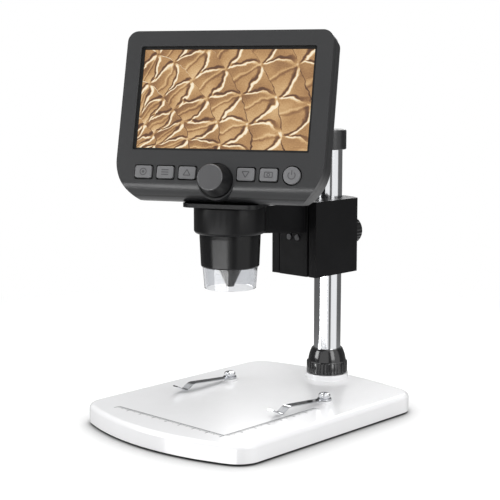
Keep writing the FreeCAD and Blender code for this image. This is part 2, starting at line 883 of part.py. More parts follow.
def rack_points(module, half_length, depth, play):
    """Corners of a rack whose pitch line is the second axis. A gap is centred on the origin, and the teeth
    point along the negative first axis."""
    slope = math.tan(math.radians(S.pressure_angle.value))
    pitch = math.pi * module
    tip = module * S.tooth_height.value
    deep = tip + module * S.tooth_root.value
    quarter = pitch / 4 - play / 2
    count = int(half_length / pitch)
    points = [(depth, -half_length), (deep, -half_length)]
    for number in range(-count, count):
        middle = (number + 0.5) * pitch
        points += [
            (deep, middle - quarter - deep * slope),
            (-tip, middle - quarter + tip * slope),
            (-tip, middle + quarter - tip * slope),
            (deep, middle + quarter + deep * slope),
        ]
    return points + [(deep, half_length), (depth, half_length)]


def toothed(name, points, to_space, way):
    """A prism on a toothed outline. The outline's two axes are set in space by a rule."""
    corners = [to_space(first, second) for first, second in points]
    item = doc.addObject("Part::Feature", name)
    item.Shape = Part.Face(Part.makePolygon(corners + corners[:1])).extrude(way)
    return item


def make_slide():
    half = S.slide_half
    wide = half + S.slide_spread
    neck_y = S.block_front - S.slide_neck
    deep_y = neck_y - S.slide_flank
    form = padded("xy", [
        (-half, -slide_front),
        (half, -slide_front),
        (half, -neck_y),
        (wide, -deep_y),
        (wide, -slide_back),
        (-wide, -slide_back),
        (-wide, -deep_y),
        (-half, -neck_y),
    ], S.block_bottom, block_top)
    rack_half = S.pinion_wide / 2
    recess = box((-rack_half - S.seat_gap, rack_half + S.seat_gap), (-rack_back - S.seat_gap, as_size(0.0)),
                 (S.block_bottom - S.over, block_top + S.over))
    screw_z = block_middle + S.rack_screw_rise
    rack_screws = [(S.rack_screw_x + side * S.rack_screw_pitch / 2) for side in (-1, 1)]
    ways = [
        rod(S.rack_screw_radius + S.seat_gap, -slide_front - S.over, as_size(0.0), x=x, z=screw_z, axis="y")
        for x in rack_screws
    ]
    arm_z = block_top - S.arm_screw_drop
    arm_ways = []
    for side in (-1, 1):
        x = side * S.arm_screw_x
        arm_ways.append(rod(S.arm_screw_radius + S.seat_gap, -slide_front - S.over, as_size(0.0), x=x, z=arm_z,
                            axis="y"))
        head_end = S.arm_screw_head_high - slide_back + S.clear_gap
        arm_ways.append(rod(S.arm_screw_head + S.seat_gap, -slide_back - S.arm_screw_head_high - S.clear_gap,
                            head_end, x=x, z=arm_z, axis="y"))
    sub_part("slide_carriage", cut(form, recess, *ways, *arm_ways), "post")

    # The rack's gap is centred on the pinion at rest, and the pinion has a tooth there.
    points = rack_points(S.gear_module.value, (S.focus_travel + S.rack_spare).value,
                         (rack_back - rack_pitch_y).value, S.gear_play.value)
    rack = toothed("Rack", points,
                   lambda deep, up: FreeCAD.Vector(-rack_half.value, -rack_pitch_y.value - deep,
                                                   block_middle.value + up),
                   X_AXIS * S.pinion_wide.value)
    taps = [
        rod(S.rack_screw_radius + S.seat_gap, -rack_back - S.over, -rack_pitch_y - S.gear_module * 2, x=x,
            z=screw_z, axis="y")
        for x in rack_screws
    ]
    sub_part("focus_rack", cut(rack, *taps), "post")
    head_near = slide_front + S.rack_screw_head_high
    screws = [
        fuse(
            rod(S.rack_screw_head, -head_near, -slide_front, x=x, z=screw_z, axis="y"),
            rod(S.rack_screw_radius, -slide_front, -rack_pitch_y - S.gear_module * 2 - S.clear_gap, x=x,
                z=screw_z, axis="y"),
        )
        for x in rack_screws
    ]
    sub_part("rack_screws", group(*screws), "post")
    arm_screws = [
        fuse(
            rod(S.arm_screw_head, -slide_back - S.arm_screw_head_high, -slide_back, x=side * S.arm_screw_x,
                z=arm_z, axis="y"),
            rod(S.arm_screw_radius, -slide_front - S.arm_screw_bite, -slide_back, x=side * S.arm_screw_x,
                z=arm_z, axis="y"),
        )
        for side in (-1, 1)
    ]
    sub_part("arm_screws", group(*arm_screws), "post")

    arm = padded("yz", [
        (-slide_front, arm_root_bottom),
        (-slide_front, block_top),
        (-S.lens_reach, block_top),
        (-S.lens_reach, arm_end_bottom + S.ring_round),
        (-S.lens_reach + ring_bore, arm_end_bottom + S.ring_round),
        (-S.arm_bend_reach + S.ring_round, arm_end_bottom),
    ], -S.arm_width / 2, S.arm_width / 2)
    ring = turned([
        (0.0, ring_bottom),
        (S.ring_radius - S.ring_round, ring_bottom),
        (S.ring_radius, ring_bottom + S.ring_round, S.ring_round),
        (S.ring_radius, ring_top - S.ring_edge),
        (S.ring_radius - S.ring_edge, ring_top),
        (0.0, ring_top),
    ])
    put(ring, y=-S.lens_reach)
    bore = rod(ring_bore, ring_bottom - S.over, ring_top + S.over, y=-S.lens_reach)
    taps = [
        rod(S.arm_screw_radius + S.seat_gap, -slide_front - S.arm_screw_bite - S.clear_gap, as_size(0.0),
            x=side * S.arm_screw_x, z=arm_z, axis="y")
        for side in (-1, 1)
    ]
    sub_part("arm_bracket", cut(fuse(arm, ring), bore, *taps), "post")
    liner_out = ring_bore - S.seat_gap
    liner = turned([
        (S.barrel_radius + S.run_gap, ring_bottom + S.ring_liner_lift),
        (liner_out, ring_bottom + S.ring_liner_lift),
        (liner_out, ring_top - S.ring_liner_drop),
        (S.barrel_radius + S.run_gap, ring_top - S.ring_liner_drop),
    ])
    sub_part("ring_liner", liner, "post", y=-S.lens_reach)


def make_pinion():
    inner = S.pinion_wide / 2
    points = gear_points(S.gear_module.value, int(S.pinion_teeth.value), S.gear_play.value)
    gear = toothed("Pinion", points,
                   lambda first, second: FreeCAD.Vector(-inner.value, -S.pinion_axis_y.value - first,
                                                        block_middle.value + second),
                   X_AXIS * S.pinion_wide.value)
    knob_near = S.block_width / 2 + S.clear_gap
    knob_far = knob_near + S.focus_knob_long
    shaft_near = S.focus_knob_roof - knob_far
    shaft = rod(S.pinion_shaft, shaft_near + S.slide_gap, inner + S.pinion_bearing_deep - S.clear_gap,
                y=-S.pinion_axis_y, z=block_middle, axis="x")
    sub_part("pinion_shaft", fuse(gear, shaft), "post")
    knob = rod(S.focus_knob_radius, -knob_far, -knob_near, y=-S.pinion_axis_y, z=block_middle, axis="x")
    seat = rod(S.pinion_shaft + S.seat_gap, shaft_near, as_size(0.0), y=-S.pinion_axis_y, z=block_middle,
               axis="x")
    sub_part("focus_knob", cut(knob, seat), "post")


# Head shells. In the face frame +Y runs into the head, +Z up the face.
chin_floor = (screen_high - S.roll_start * tilt_cosine - (S.roll_radius - S.bezel_proud) * tilt_sine
              - S.roll_radius)
face_to_head = FreeCAD.Rotation(X_AXIS, -S.face_tilt.value)


def from_face(item):
    """Sets an item that is modelled in the face frame into the head frame."""
    return put(whole(item), 0.0, -S.screen_front, screen_high, face_to_head)


def from_head(item):
    """Sets an item that is modelled in the head frame into the face frame."""
    return put(whole(item), 0.0, S.screen_front * tilt_cosine + screen_high * tilt_sine,
               S.screen_front * tilt_sine - screen_high * tilt_cosine, face_to_head.inverted())


def head_form(inset, face_inset, start, end):
    """The head's rounded outline, cut by its side profile: a flat face that rolls under to a level floor."""
    half = head_width / 2 - inset
    outline = padded("xz", rectangle(-half, half, -S.head_bottom + inset, head_top - inset), start, end)
    rounded(outline, S.head_top_corner - inset, both(along(Y_AXIS), above(0.0)))
    rounded(outline, S.head_low_corner - inset, both(along(Y_AXIS), below(0.0)))
    front = -S.bezel_proud + face_inset
    radius = S.roll_radius - face_inset
    roll_y = -S.bezel_proud + S.roll_radius
    end_y = roll_y + radius * tilt_sine
    end_z = -S.roll_start - radius * tilt_cosine
    back = S.head_deep + S.over
    profile = padded("yz", [
        (front, head_top + S.over),
        (front, -S.roll_start),
        (end_y, end_z, radius),
        (back, end_z + (back - end_y) * tilt_sine / tilt_cosine),
        (back, head_top + S.over),
    ], -half - S.over, half + S.over)
    return common(outline, profile)


def neck_cavity():
    """The room inside the neck: its roof follows the sloping back one wall below."""
    half = S.neck_width / 2 - S.neck_wall
    front = -S.neck_front + S.neck_wall * 3
    back = S.neck_back - S.neck_wall
    slope = (neck_top - neck_shoulder) / back
    drop = S.neck_wall * root(slope * slope + 1)
    return padded("yz", [
        (front, chin_floor),
        (back, chin_floor),
        (back, neck_shoulder + S.neck_wall * slope - drop),
        (S.neck_wall, neck_top - drop),
        (front, neck_top - drop),
    ], -half, half)


def button_places():
    """Each button's name, its place along the row and whether it is round."""
    names = ("record", "menu", "up", "down", "capture", "power")
    places = []
    for number, name in enumerate(names):
        step = 2 - number if number < 3 else number - 3
        offset = S.button_first + step * S.button_pitch
        places.append((name, -offset if number < 3 else offset, name == "power"))
    return places


def button_form(x, is_round, grow, start, end):
    """A button's outline, grown all round, between two depths."""
    if is_round:
        return rod(S.power_radius + grow, start, end, x=x, z=-S.button_down, axis="y")
    half_wide = S.button_width / 2 + grow
    half_high = S.button_height / 2 + grow
    outline = rectangle(x - half_wide, x + half_wide, -S.button_down - half_high, -S.button_down + half_high)
    return rounded(padded("xz", outline, start, end), S.button_corner, along(Y_AXIS))


wall_inside = S.bezel_wall - S.bezel_proud
recess_floor = S.wheel_recess - S.bezel_proud
board_near = S.panel_thick + S.board_gap
board_far = board_near + S.board_thick
bush_end = recess_floor + S.wheel_bush_long


def make_shells():
    outer = head_form(as_size(0.0), as_size(0.0), -S.bezel_proud - S.over, S.parting_deep)
    cavity = head_form(S.side_wall, S.bezel_wall, wall_inside, S.parting_deep + S.over)
    margin = S.window_margin
    half_wide = S.screen_width / 2 + margin
    half_high = S.screen_height / 2 + margin
    window = padded("xz", rectangle(-half_wide, half_wide, -half_high, half_high), -S.bezel_proud - S.over,
                    wall_inside + S.over)
    rounded(window, S.window_corner, along(Y_AXIS))
    boss = rod(S.wheel_boss_radius, -S.bezel_proud, bush_end, z=-S.roll_start, axis="y")
    posts = [
        rod(S.head_screw_post, wall_inside - S.head_screw_post_sink, S.parting_deep, x=side * head_screw_x,
            z=-S.head_screw_down, axis="y")
        for side in (-1, 1)
    ]
    shell = fuse(cut(outer, cavity, window), boss, *posts)
    holes = [
        button_form(x, is_round, S.button_gap, -S.bezel_proud - S.over, wall_inside + S.over)
        for name, x, is_round in button_places()
    ]
    holes.append(rod(S.wheel_recess_radius, -S.bezel_proud - S.over, recess_floor, z=-S.roll_start, axis="y"))
    holes.append(rod(S.wheel_bush + S.seat_gap, -S.bezel_proud, S.head_deep, z=-S.roll_start, axis="y"))
    holes += [
        rod(S.head_screw_radius + S.seat_gap, S.head_screw_hole_end, S.head_deep, x=side * head_screw_x,
            z=-S.head_screw_down, axis="y")
        for side in (-1, 1)
    ]
    side = -head_width / 2
    gap = S.button_gap
    through = (side - S.over, side + S.side_wall + S.over)
    holes.append(box(through, (board_far - gap, board_far + S.socket_thick + gap),
                     (S.socket_up - gap, S.socket_up + S.socket_width + gap)))
    holes.append(box(through, (board_far - gap, board_far + S.card_thick + gap),
                     (-S.card_up - gap, -S.card_up + S.card_width + gap)))
    sub_part("front_bezel", cut(shell, *holes), "face")

    back = head_form(S.rear_step, as_size(0.0), S.parting_deep, S.head_deep)
    back_cavity = head_form(S.side_wall, S.rear_wall, S.parting_deep - S.over, S.head_deep - S.rear_wall)
    tubes = [
        rod(S.head_screw_post, S.parting_deep, S.head_deep - S.rear_wall / 2, x=side_sign * head_screw_x,
            z=-S.head_screw_down, axis="y")
        for side_sign in (-1, 1)
    ]
    head_low = S.head_deep - S.head_screw_head_high
    screw_holes = []
    for side_sign in (-1, 1):
        x = side_sign * head_screw_x
        screw_holes.append(rod(S.head_screw_radius + S.run_gap, S.parting_deep - S.over, head_low + S.over, x=x,
                               z=-S.head_screw_down, axis="y"))
        screw_holes.append(rod(S.head_screw_head + S.run_gap, head_low, S.head_deep + S.over, x=x,
                               z=-S.head_screw_down, axis="y"))
    neck_way = from_head(neck_cavity())
    sub_part("rear_cover", cut(fuse(cut(back, back_cavity), *tubes), neck_way, *screw_holes), "face")
    screws = [
        fuse(
            rod(S.head_screw_head, head_low, S.head_deep - S.head_screw_sink, x=side_sign * head_screw_x,
                z=-S.head_screw_down, axis="y"),
            rod(S.head_screw_radius, S.head_screw_tip, head_low, x=side_sign * head_screw_x,
                z=-S.head_screw_down, axis="y"),
        )
        for side_sign in (-1, 1)
    ]
    sub_part("head_screws", group(*screws), "face")


def make_neck():
    """A plate under the chin that rises behind the head as a housing for the camera."""
    half = S.neck_width / 2
    foot = ring_top + S.neck_gap
    profile = padded("yz", [
        (-S.neck_front, foot),
        (S.neck_back, foot),
        (S.neck_back, neck_shoulder),
        (S.neck_wall, neck_top),
        (-S.neck_front, neck_top),
    ], -half, half)
    rounded(profile, S.neck_corner, along(Z_AXIS))
    head_room = from_face(head_form(as_size(0.0), as_size(0.0), -S.bezel_proud - S.over, S.head_deep))
    front_room = box((-half - S.over, half + S.over), (-S.neck_front - S.over, as_size(0.0)),
                     (chin_floor, neck_top + S.over))
    tower = cut(profile, head_room, common(front_room, from_face(head_slab())))
    barrel_way = rod(S.barrel_bore, foot - S.over, chin_floor + S.over)
    sub_part("neck_housing", cut(tower, neck_cavity(), barrel_way), "head")


def head_slab():
    """All the room in front of the head's rear face."""
    far = head_width
    return box((-far, far), (-far, S.head_deep), (-far, far))


def make_electronics():
    half_wide = S.screen_width / 2 + S.panel_border_side
    half_high = S.screen_height / 2 + S.panel_border_end
    panel = box((-half_wide, half_wide), (as_size(0.0), S.panel_thick), (-half_high, half_high))
    sub_part("lcd_panel", panel, "face")
    gasket = box((-half_wide, half_wide), (wall_inside, as_size(0.0)), (-half_high, half_high))
    sight = box((-S.screen_width / 2, S.screen_width / 2), (wall_inside - S.over, S.over),
                (-S.screen_height / 2, S.screen_height / 2))
    sub_part("lcd_gasket", cut(gasket, sight), "face")
    board = box((S.board_inset - head_width / 2, S.board_right), (board_near, board_far),
                (-S.board_down, S.board_up))
    sub_part("main_board", board, "face")
    battery = box((-S.battery_width / 2, S.battery_width / 2), (board_far, board_far + S.battery_thick),
                  (S.battery_lift - S.battery_height / 2, S.battery_lift + S.battery_height / 2))
    sub_part("battery", battery, "face")
    side = S.socket_setback - head_width / 2
    socket = box((side, side + S.socket_deep), (board_far, board_far + S.socket_thick),
                 (S.socket_up, S.socket_up + S.socket_width))
    wall = S.socket_wall
    mouth = box((side - S.over, side + S.socket_deep - S.socket_floor),
                (board_far + wall, board_far + S.socket_thick - wall),
                (S.socket_up + wall, S.socket_up + S.socket_width - wall))
    tongue = box((side + S.socket_floor, side + S.socket_deep),
                 (board_far + S.tongue_level, board_far + S.socket_thick - S.tongue_level),
                 (S.socket_up + S.tongue_side, S.socket_up + S.socket_width - S.tongue_side))
    sub_part("power_socket", fuse(cut(socket, mouth), tongue), "face")
    card = box((side, side + S.card_deep), (board_far, board_far + S.card_thick),
               (-S.card_up, -S.card_up + S.card_width))
    slot = box((side - S.over, side + S.card_deep - S.card_side),
               (board_far + S.card_wall, board_far + S.card_thick - S.card_wall),
               (S.card_side - S.card_up, S.card_width - S.card_up - S.card_side))
    sub_part("card_socket", cut(card, slot), "face")

    keys = box((-S.key_board_half, S.key_board_half), (board_near, board_far),
               (-S.key_board_down, -S.key_board_up))
    notch = rod(S.wheel_boss_radius + S.clear_gap, as_size(0.0), S.head_deep, z=-S.roll_start, axis="y")
    sub_part("key_board", cut(keys, notch), "face")
    reach = S.switch_size / 2
    switches = [
        box((x - reach, x + reach), (board_near - S.switch_high, board_near),
            (-S.button_down - reach, -S.button_down + reach))
        for name, x, is_round in button_places()
    ]
    sub_part("key_switches", group(*switches), "face")

    half = S.neck_width / 2 - S.neck_wall - S.clear_gap / 2
    camera_low = ring_top + S.camera_board_rise
    camera = box((-half, half), (-S.camera_board_front, S.neck_back - S.neck_wall - S.clear_gap / 2),
                 (camera_low, camera_low + S.board_thick))
    sub_part("camera_board", camera, "head")
    half_sensor = S.sensor_size / 2
    sensor = box((-half_sensor, half_sensor), (-half_sensor, half_sensor),
                 (camera_low - S.sensor_thick, camera_low))
    sub_part("image_sensor", sensor, "head")


def make_buttons():
    for name, x, is_round in button_places():
        flange_near = wall_inside + S.clear_gap
        cap = button_form(x, is_round, as_size(0.0), -S.bezel_proud - S.button_proud, flange_near)
        flange = button_form(x, is_round, S.button_flange_margin, flange_near, flange_near + S.button_flange)
        plunger_end = board_near - S.switch_high - S.button_travel - S.clear_gap
        plunger = rod(S.plunger_radius, flange_near + S.button_flange, plunger_end, x=x, z=-S.button_down,
                      axis="y")
        sub_part(f"button_{name}", fuse(cap, flange, plunger), "face")


lens_pinion = S.lens_gear_module * S.lens_gear_teeth / 2


def make_wheel():
    bush = rod(S.wheel_bush, recess_floor, bush_end, z=-S.roll_start, axis="y")
    way = rod(S.wheel_shaft + S.run_gap, recess_floor - S.over, bush_end + S.over, z=-S.roll_start, axis="y")
    sub_part("wheel_bush", cut(bush, way), "face")
    near = recess_floor - S.clear_gap
    face = near - S.wheel_long
    knob = turned([
        (0.0, -face),
        (0.0, -near),
        (S.wheel_base_radius, -near),
        (S.wheel_base_radius, S.wheel_skirt - near),
        (S.wheel_shoulder_radius, -face - S.wheel_edge),
        (S.wheel_face_radius, -face),
    ])
    # The profile is turned about Z and then laid over, so that its heights point out of the face.
    put(knob, 0.0, 0.0, -S.roll_start, FreeCAD.Rotation(X_AXIS, 90))
    seat = rod(S.wheel_shaft + S.seat_gap, face + S.wheel_roof, as_size(0.0), z=-S.roll_start, axis="y")
    sub_part("focus_wheel", cut(knob, seat), "face")
    points = gear_points(S.lens_gear_module.value, int(S.lens_gear_teeth.value), S.gear_play.value)
    gear = toothed("LensPinion", points,
                   lambda first, second: FreeCAD.Vector(first, S.lens_gear_near.value,
                                                        second - S.roll_start.value),
                   Y_AXIS * (S.lens_gear_far - S.lens_gear_near).value)
    shaft = rod(S.wheel_shaft, face + S.wheel_roof + S.clear_gap, S.lens_gear_far, z=-S.roll_start, axis="y")
    sub_part("wheel_shaft", fuse(shaft, gear), "face")


def make_lens():
    tube = rod(S.carrier_radius, carrier_bottom, (ring_top + S.carrier_rise))
    # The rack stands beside the pinion, with its teeth parallel to the wheel's tilted shaft.
    half_length = S.lens_travel + S.lens_rack_spare
    points = rack_points(S.lens_gear_module.value, half_length.value, S.lens_rack_body.value, S.gear_play.value)
    rack_near = S.lens_gear_near + S.lens_rack_step
    rack_deep = S.lens_gear_far + S.lens_rack_reach
    rack = toothed("LensRack", points,
                   lambda deep, up: FreeCAD.Vector(lens_pinion.value + deep, rack_near.value,
                                                   up - S.roll_start.value),
                   Y_AXIS * (rack_deep - S.lens_gear_near).value)
    bore = rod(S.carrier_bore, carrier_bottom - S.over, (ring_top + S.carrier_rise) + S.over)
    sub_part("lens_carrier", cut(fuse(tube, from_face(rack)), bore), "head")
    glass = turned([
        (0.0, carrier_bottom),
        (S.carrier_bore - S.seat_gap, carrier_bottom + S.glass_bevel),
        (S.carrier_bore - S.seat_gap, carrier_bottom + S.glass_thick),
        (0.0, carrier_bottom + S.glass_thick + S.glass_crown),
    ])
    sub_part("lens_glass", glass, "head")


def make_barrel():
    top = ring_top + S.neck_gap
    guide = S.carrier_radius + S.run_gap
    barrel = turned([
        (S.clear_top_radius - S.clear_wall - S.seat_gap, barrel_bottom),
        (S.barrel_low_radius - S.barrel_edge, barrel_bottom),
        (S.barrel_low_radius, barrel_bottom + S.barrel_edge_high),
        (S.barrel_radius, ring_top - S.barrel_taper_drop),
        (S.barrel_radius, top),
        (S.barrel_bore, top),
        (S.barrel_bore, guide_top),
        (guide, guide_top),
        (guide, (ring_top - S.guide_drop)),
        (S.clear_top_radius - S.clear_wall - S.seat_gap, (ring_top - S.guide_drop)),
    ])
    clear_seat = turned([
        (0.0, barrel_bottom - S.over),
        (S.clear_top_radius + S.seat_gap, barrel_bottom - S.over),
        (S.clear_top_radius + S.seat_gap, barrel_bottom + S.clear_tuck),
        (0.0, barrel_bottom + S.clear_tuck),
    ])
    sub_part("lens_barrel", cut(barrel, clear_seat), "head")

    tuck_top = barrel_bottom + S.clear_tuck
    clear_bottom = ring_top - S.clear_drop
    clear = turned([
        (S.clear_low_radius - S.clear_wall, clear_bottom),
        (S.clear_low_radius, clear_bottom),
        (S.clear_top_radius, barrel_bottom),
        (S.clear_top_radius, tuck_top),
        (S.clear_top_radius - S.clear_wall, tuck_top),
        (S.clear_top_radius - S.clear_wall, barrel_bottom),
    ])
    sub_part("clear_cover", clear, "head")

    board_low = ring_top - S.light_board_drop
    board_out = S.clear_top_radius - S.clear_wall - S.seat_gap * 2
    board = turned([
        (S.nose_top_radius + S.seat_gap, board_low),
        (board_out, board_low),
        (board_out, board_low + S.board_thick),
        (S.nose_top_radius + S.seat_gap, board_low + S.board_thick),
    ])
    sub_part("light_board", board, "head")
    lights = []
    for number in range(int(S.light_count.value)):
        angle = as_size(360.0 / S.light_count.value * number)
        lights.append(rod(S.light_radius, board_low - S.light_long, board_low,
                          x=S.light_circle * cosine(angle), y=S.light_circle * sine(angle)))
    sub_part("lights", group(*lights), "head")
    nose = turned([
        (S.nose_bore, ring_top - S.nose_tip_drop),
        (S.nose_tip_radius, ring_top - S.nose_tip_drop),
        (S.nose_top_radius, board_low - S.nose_collar),
        (S.nose_top_radius, board_low + S.board_thick + S.nose_collar),
        (S.nose_top_radius - S.nose_wall, board_low + S.board_thick + S.nose_collar),
        (S.nose_top_radius - S.nose_wall, board_low - S.nose_collar),
    ])
    sub_part("nose_cone", nose, "head")


make_base()
make_post()
for side_name, side_sign in (("left", -1), ("right", 1)):
    make_clip(side_name, side_sign)
make_liner()
make_block()
make_slide()
make_pinion()
make_shells()
make_neck()
make_electronics()
make_buttons()
make_wheel()
make_lens()
make_barrel()

doc.recompute()
faults = [f"{item.Label}: {item.State}" for item in doc.Objects if {"Invalid", "Error"} & set(item.State)]
for name, item in sub_parts.items():
    if item.Shape.isNull() or not item.Shape.isValid() or not item.Shape.Solids:
        faults.append(f"{name}: empty or broken shape")
if faults:
    raise RuntimeError("; ".join(faults))

os.makedirs("parts", exist_ok=True)
for name, item in sub_parts.items():
    item.Shape.exportStep(f"parts/{name}.step")
print(len(sub_parts), "sub-parts written")
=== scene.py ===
import json
import math

import bmesh
import bpy
from mathutils import Matrix, Vector


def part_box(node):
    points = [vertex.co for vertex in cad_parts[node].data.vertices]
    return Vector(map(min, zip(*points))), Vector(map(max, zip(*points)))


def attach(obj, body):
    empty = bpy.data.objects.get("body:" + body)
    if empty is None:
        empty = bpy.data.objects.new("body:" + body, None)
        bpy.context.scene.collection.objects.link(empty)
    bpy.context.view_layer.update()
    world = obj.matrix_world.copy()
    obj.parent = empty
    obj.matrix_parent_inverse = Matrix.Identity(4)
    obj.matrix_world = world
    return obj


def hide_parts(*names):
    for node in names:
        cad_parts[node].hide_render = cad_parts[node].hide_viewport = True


# A desk microscope: white base, chrome post, black slide and a charcoal head with a lit screen.

MM = 0.001
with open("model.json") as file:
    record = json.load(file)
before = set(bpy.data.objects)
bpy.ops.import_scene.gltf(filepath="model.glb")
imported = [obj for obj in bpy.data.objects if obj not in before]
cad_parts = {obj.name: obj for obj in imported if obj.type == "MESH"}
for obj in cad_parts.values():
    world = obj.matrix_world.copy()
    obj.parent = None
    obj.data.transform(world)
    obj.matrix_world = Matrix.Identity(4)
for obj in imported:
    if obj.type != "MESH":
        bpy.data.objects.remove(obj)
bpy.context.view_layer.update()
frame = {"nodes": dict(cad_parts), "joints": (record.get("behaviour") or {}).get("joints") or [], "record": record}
bodies_of_nodes = {
    node: body for body, nodes in frame["record"]["behaviour"]["bodies"].items() for node in nodes
}
slot_of_nodes = {entry["node"]: entry["material_slot"] for entry in frame["record"]["subparts"]}
joints = {joint["name"]: joint for joint in frame["joints"]}

# Places, worked out from the frame
POST_AXIS = Vector(joints["stage_turn"]["pos_m"])
SCREEN_TO_WHEEL = 44.0 * MM
STAGE_TOP = 11.0 * MM
FACE_OUT = Vector(joints["wheel_turn"]["axis"]).normalized()
FACE_UP = (Vector((0, 0, 1)) - FACE_OUT * FACE_OUT.z).normalized()
FACE_RIGHT = FACE_UP.cross(FACE_OUT)
WHEEL_POINT = Vector(joints["wheel_turn"]["pos_m"])
SCREEN_POINT = WHEEL_POINT + FACE_UP * SCREEN_TO_WHEEL


def axes(origin, first, second, third):
    """A matrix that takes local X, Y and Z to three directions from an origin."""
    return Matrix.Translation(origin) @ Matrix((first, second, third)).transposed().to_4x4()


# In the face frame X is right, Y up the face and Z out of it, all in metres from the screen's centre.
FACE = axes(SCREEN_POINT, FACE_RIGHT, FACE_UP, FACE_OUT)
WHEEL = axes(WHEEL_POINT, FACE_RIGHT, FACE_UP, FACE_OUT)
POST = Matrix.Translation((POST_AXIS.x, POST_AXIS.y, 0))


# How far below the face's own direction the lit part of the chin looks
CHIN_TURN = math.radians(28.0)


# Where the lit panels stand, as shares of a full turn that starts at -X and runs anticlockwise
PANELS = ((0.231, 0.383), (0.447, 0.592))


# Materials
class Nodes:
    """A material's node tree with short calls for the nodes used here."""

    def __init__(self, name):
        self.material = bpy.data.materials.new(name)
        self.material.use_nodes = True
        self.tree = self.material.node_tree
        self.shader = self.tree.nodes["Principled BSDF"]
        self.place = self.add("ShaderNodeTexCoord").outputs["Object"]

    def add(self, kind, **values):
        node = self.tree.nodes.new(kind)
        for name, value in values.items():
            setattr(node, name, value)
        return node

    def link(self, source, target):
        self.tree.links.new(source, target)

    def noise(self, scale, detail=4.0, stretch=None):
        node = self.add("ShaderNodeTexNoise")
        node.inputs["Scale"].default_value = scale
        node.inputs["Detail"].default_value = detail
        self.link(self.stretched(stretch) if stretch else self.place, node.inputs["Vector"])
        return node.outputs["Fac"]

    def stretched(self, scale):
        node = self.add("ShaderNodeMapping")
        node.inputs["Scale"].default_value = scale
        self.link(self.place, node.inputs["Vector"])
        return node.outputs["Vector"]

    def math(self, operation, first, second=0.0, third=0.0):
        node = self.add("ShaderNodeMath", operation=operation)
        for socket, value in zip(node.inputs, (first, second, third)):
            if isinstance(value, (int, float)):
                socket.default_value = value
            else:
                self.link(value, socket)
        return node.outputs[0]

    def ramp(self, source, *stops):
        node = self.add("ShaderNodeValToRGB")
        while len(node.color_ramp.elements) < len(stops):
            node.color_ramp.elements.new(0.5)
        for element, (place, color) in zip(node.color_ramp.elements, stops):
            element.position = place
            element.color = (*color, 1.0) if len(color) == 3 else color
        self.link(source, node.inputs["Fac"])
        return node.outputs["Color"]

    def span(self, source, low, high):
        node = self.add("ShaderNodeMapRange")
        node.inputs["To Min"].default_value = low
        node.inputs["To Max"].default_value = high
        self.link(source, node.inputs["Value"])
        return node.outputs["Result"]

    def bump(self, source, strength, distance):
        node = self.add("ShaderNodeBump")
        node.inputs["Strength"].default_value = strength
        node.inputs["Distance"].default_value = distance
        self.link(source, node.inputs["Height"])
        self.link(node.outputs["Normal"], self.shader.inputs["Normal"])


def mottled(color, spread):
    return tuple(min(1.0, part * (1 + spread)) for part in color)


def moulded(name, color, rough=0.4, grain=0.15, grain_size=2600.0, spread=0.08, coat=0.0, shine=0.5):
    """Moulded plastic or coated metal: a fine grain, a faint colour drift and uneven gloss."""
    nodes = Nodes(name)
    drift = nodes.noise(60.0, 3.0)
    nodes.link(nodes.ramp(drift, (0.3, mottled(color, -spread)), (0.7, mottled(color, spread))),
               nodes.shader.inputs["Base Color"])
    uneven = nodes.span(nodes.noise(420.0, 5.0), rough * 0.82, rough * 1.18)
    nodes.link(uneven, nodes.shader.inputs["Roughness"])
    nodes.bump(nodes.noise(grain_size, 2.0), grain, 0.00006)
    nodes.shader.inputs["Coat Weight"].default_value = coat
    nodes.shader.inputs["Coat Roughness"].default_value = 0.12
    nodes.shader.inputs["Specular IOR Level"].default_value = shine
    return nodes.material


def metal(name, color, rough, stretch=(900.0, 900.0, 18.0), streak=0.12):
    """Turned or drawn metal with fine streaks along one way."""
    nodes = Nodes(name)
    nodes.shader.inputs["Metallic"].default_value = 1.0
    streaks = nodes.noise(1.0, 6.0, stretch)
    nodes.link(nodes.ramp(streaks, (0.25, mottled(color, -streak)), (0.75, mottled(color, streak * 0.5))),
               nodes.shader.inputs["Base Color"])
    nodes.link(nodes.span(streaks, rough * 0.6, rough * 1.5), nodes.shader.inputs["Roughness"])
    nodes.bump(streaks, 0.05, 0.00002)
    return nodes.material


def clear(name, color, rough, mist=0.12):
    """Clear moulded plastic, a little milky where it is thick."""
    nodes = Nodes(name)
    nodes.shader.inputs["Transmission Weight"].default_value = 1.0
    nodes.shader.inputs["IOR"].default_value = 1.46
    nodes.link(nodes.ramp(nodes.noise(90.0), (0.2, mottled(color, -0.03)), (0.8, color)),
               nodes.shader.inputs["Base Color"])
    nodes.link(nodes.span(nodes.noise(700.0), rough * 0.5, rough + mist), nodes.shader.inputs["Roughness"])
    return nodes.material


def circuit(name):
    """A green board with copper tracks under its mask."""
    nodes = Nodes(name)
    tracks = nodes.add("ShaderNodeTexBrick")
    tracks.inputs["Scale"].default_value = 240.0
    tracks.inputs["Mortar Size"].default_value = 0.03
    nodes.link(nodes.place, tracks.inputs["Vector"])
    nodes.link(nodes.ramp(tracks.outputs["Fac"], (0.4, (0.01, 0.10, 0.04)), (0.6, (0.03, 0.22, 0.09))),
               nodes.shader.inputs["Base Color"])
    nodes.shader.inputs["Roughness"].default_value = 0.35
    nodes.bump(tracks.outputs["Fac"], 0.3, 0.00005)
    return nodes.material


def glowing(name, color, strength):
    nodes = Nodes(name)
    soft = nodes.ramp(nodes.noise(300.0), (0.2, mottled(color, -0.06)), (0.8, color))
    nodes.link(soft, nodes.shader.inputs["Base Color"])
    nodes.link(soft, nodes.shader.inputs["Emission Color"])
    nodes.shader.inputs["Emission Strength"].default_value = strength
    nodes.shader.inputs["Roughness"].default_value = 0.3
    return nodes.material


CHARCOAL = (0.020, 0.0204, 0.0216)


